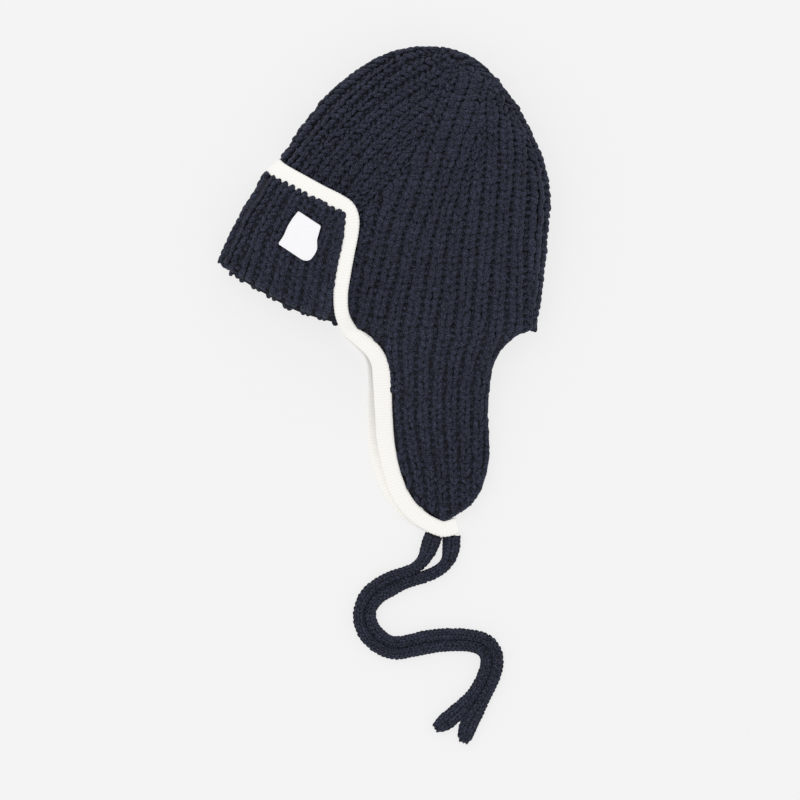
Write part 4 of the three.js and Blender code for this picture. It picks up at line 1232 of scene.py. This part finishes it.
flapPiece = meshPiece("front_flap_ribs", frontFlap(), darkYarn)
groundPiece = meshPiece("front_flap_ground", [frontGround()], darkYarn)
for piece in (flapPiece, groundPiece):
    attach(piece, "root")
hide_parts("front_flap")
print("front flap knitted")


# The pale band: a flat padded strip with fine ribs across

def edgeBand():
    look = bandForm
    line, normals = bandStations[:, :3], unit(bandStations[:, 3:6])
    tangent = unit(np.gradient(line, axis=0))
    broad = unit(np.cross(normals, tangent))
    thick = np.cross(tangent, broad)
    turns = 2 * math.pi * (np.arange(look["sides"]) + 0.5) / look["sides"]
    across, up = (np.sign(v) * np.abs(v) ** (2 / look["squareness"]) for v in (np.cos(turns), np.sin(turns)))
    ribs = 0.5 - 0.5 * np.cos(2 * math.pi * bandAlong / look["ribPitch"])
    wander = sum(by * np.sin(bandAlong / over + start) for by, over, start in look["wander"])
    plain = np.interp(np.minimum(bandAlong, bandAlong[-1] - bandAlong), *bandWidths.T)
    halfWide = (plain / 2 + wander * look["wanderWide"] - look["teeth"] * (1 - ribs))[:, None, None]
    halfThick = (look["thick"] / 2 - look["ribDeep"] * (1 - ribs))[:, None, None]
    centre = line + broad * (wander * look["wanderAside"])[:, None]
    points = (centre[:, None] + broad[:, None] * across[None, :, None] * halfWide
              + thick[:, None] * up[None, :, None] * halfThick)
    points[..., 2] = np.maximum(points[..., 2], 0.1)
    # at the front fold it is drawn tight and flattened against the knit
    (ax, ay), (bx, by) = look["fold"]
    outward = np.array([ay - by, bx - ax]) / math.hypot(bx - ax, by - ay)
    beyond = (points[..., :2] - np.array([ax, ay])) @ outward
    points[..., :2] -= outward * (np.maximum(beyond + look["foldRoom"], 0) * look["tight"])[..., None]
    rings, columns = points.shape[:2]
    # painted shade: darker in the hollows between the cross ribs
    shade = np.repeat(0.45 + 0.55 * ribs, columns)
    return {"points": np.vstack([points.reshape(-1, 3), points[:1].mean(1), points[-1:].mean(1)]),
            "quads": gridQuads(rings, columns, closed=True), "tris": tubeEnds(rings, columns),
            "shade": np.concatenate([shade, [0.6, 0.6]])}


bandPiece = meshPiece("edge_band_knit", [edgeBand()], creamBand)
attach(bandPiece, "root")
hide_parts("edge_band")
print("band made")


# The woven patch, left bare: a rounded rectangle sewn down round its border

# The patch has slumped on the ribs, so that both its sides wave
patchForm = {  # mm
    "x": -63.6, "y": 59.3, "alongX": 18, "alongY": -12,  # its top edge starts here and runs along this line
    "wide": 21.0, "long": 28.8, "thick": 1.2, "corner": 1.0, "farCorner": 4.5,
    "rise": 1.6, "under": 0.3,  # its base over the flap's outer face, and how far below that it ends
    "hemIn": 1.6, "hemWide": 0.55, "hemDeep": 0.35,  # the sewn line pulls the weave in
    "puff": 0.35, "puffFrom": 4, "puffAcross": (3.7, 0.6), "puffDown": (4.9, 0.3),
    "columns": 29, "rows": 37,
}
patchSides = np.array([  # share of the way down, and where both sides lie there; mm
    (0, 0, 20.4), (0.22, -0.5, 22.4), (0.36, -0.5, 23.8), (0.46, -0.4, 25.8), (0.56, 0, 27.5),
    (0.74, 0.9, 28.2), (1, 0.9, 27.2),
])


def wovenPatch():
    look = patchForm
    along = np.array([look["alongX"], look["alongY"]]) / math.hypot(look["alongX"], look["alongY"])
    down = np.array([along[1], -along[0]])
    halfWide, halfLong = look["wide"] / 2, look["long"] / 2
    u, v = np.meshgrid(np.linspace(-1, 1, look["columns"]) * halfWide,
                       np.linspace(-1, 1, look["rows"]) * halfLong)
    # round the corners: points near a corner are drawn in onto the corner's arc
    corner = np.where((u > 0) & (v > 0), look["farCorner"], look["corner"])
    overU = np.maximum(np.abs(u) - (halfWide - corner), 0)
    overV = np.maximum(np.abs(v) - (halfLong - corner), 0)
    square = np.maximum(overU, overV)
    shrink = np.where(square > 0, square / np.maximum(np.hypot(overU, overV), 1e-9), 1)
    u = np.sign(u) * (np.minimum(np.abs(u), halfWide - corner) + overU * shrink)
    v = np.sign(v) * (np.minimum(np.abs(v), halfLong - corner) + overV * shrink)
    edge = np.minimum(halfWide - np.abs(u), halfLong - np.abs(v))
    sides = rowAt(patchSides, v.ravel() / look["long"] + 0.5).reshape(v.shape + (3,))
    u = sides[..., 1] + (u / look["wide"] + 0.5) * (sides[..., 2] - sides[..., 1])
    x = look["x"] + along[0] * u + down[0] * (v + halfLong)
    y = look["y"] + along[1] * u + down[1] * (v + halfLong)
    rise = flapOuter + look["rise"]
    hem = np.exp(-((edge - look["hemIn"]) / look["hemWide"]) ** 2) * look["hemDeep"]
    (acrossBy, acrossStart), (downBy, downStart) = look["puffAcross"], look["puffDown"]
    puff = look["puff"] * np.sin(u / acrossBy + acrossStart) * np.sin(v / downBy + downStart)
    top, _ = overCrown(x, y, rise + look["thick"] - hem + puff * smooth(0, look["puffFrom"], edge))
    bottom, _ = overCrown(x, y, np.full_like(x, rise - look["under"]))
    points, quads = closedSheet(top, bottom)
    weave = np.stack([u, v, np.zeros_like(u)], -1).reshape(-1, 3)
    return {"points": points, "quads": quads, "weave": np.vstack([weave, weave])}


patchPiece = meshPiece("label_patch_weave", [wovenPatch()], patchWeave)
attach(patchPiece, "root")
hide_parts("label_patch")
print("patch made")


# Floor and light

floorData = bpy.data.meshes.new("floor")
floorData.from_pydata([(-3, -3, 0), (3, -3, 0), (3, 3, 0), (-3, 3, 0)], [], [(0, 1, 2, 3)])
floorData.materials.append(paleFloor("paperSweep", floorLook))
floorPiece = bpy.data.objects.new("floor", floorData)
bpy.context.collection.objects.link(floorPiece)

lightSetup = {"worldStrength": 0.9, "keyPower": 9.0, "keySize": 1.6, "keyPlace": (-1.0, 1.1, 2.4)}

world = bpy.data.worlds.new("studio")
bpy.context.scene.world = world
world.use_nodes = True
world.node_tree.nodes["Background"].inputs["Color"].default_value = linear("#ffffff")
world.node_tree.nodes["Background"].inputs["Strength"].default_value = lightSetup["worldStrength"]
keyData = bpy.data.lights.new("key", "AREA")
keyData.energy = lightSetup["keyPower"]
keyData.size = lightSetup["keySize"]
key = bpy.data.objects.new("key", keyData)
key.location = lightSetup["keyPlace"]
towardsHat = Vector((0, 0, 0)) - key.location
key.rotation_euler = towardsHat.to_track_quat("-Z", "Y").to_euler()
bpy.context.collection.objects.link(key)
bpy.context.scene.view_settings.view_transform = "Standard"
bpy.context.scene.view_settings.look = "None"
print("floor and light set")
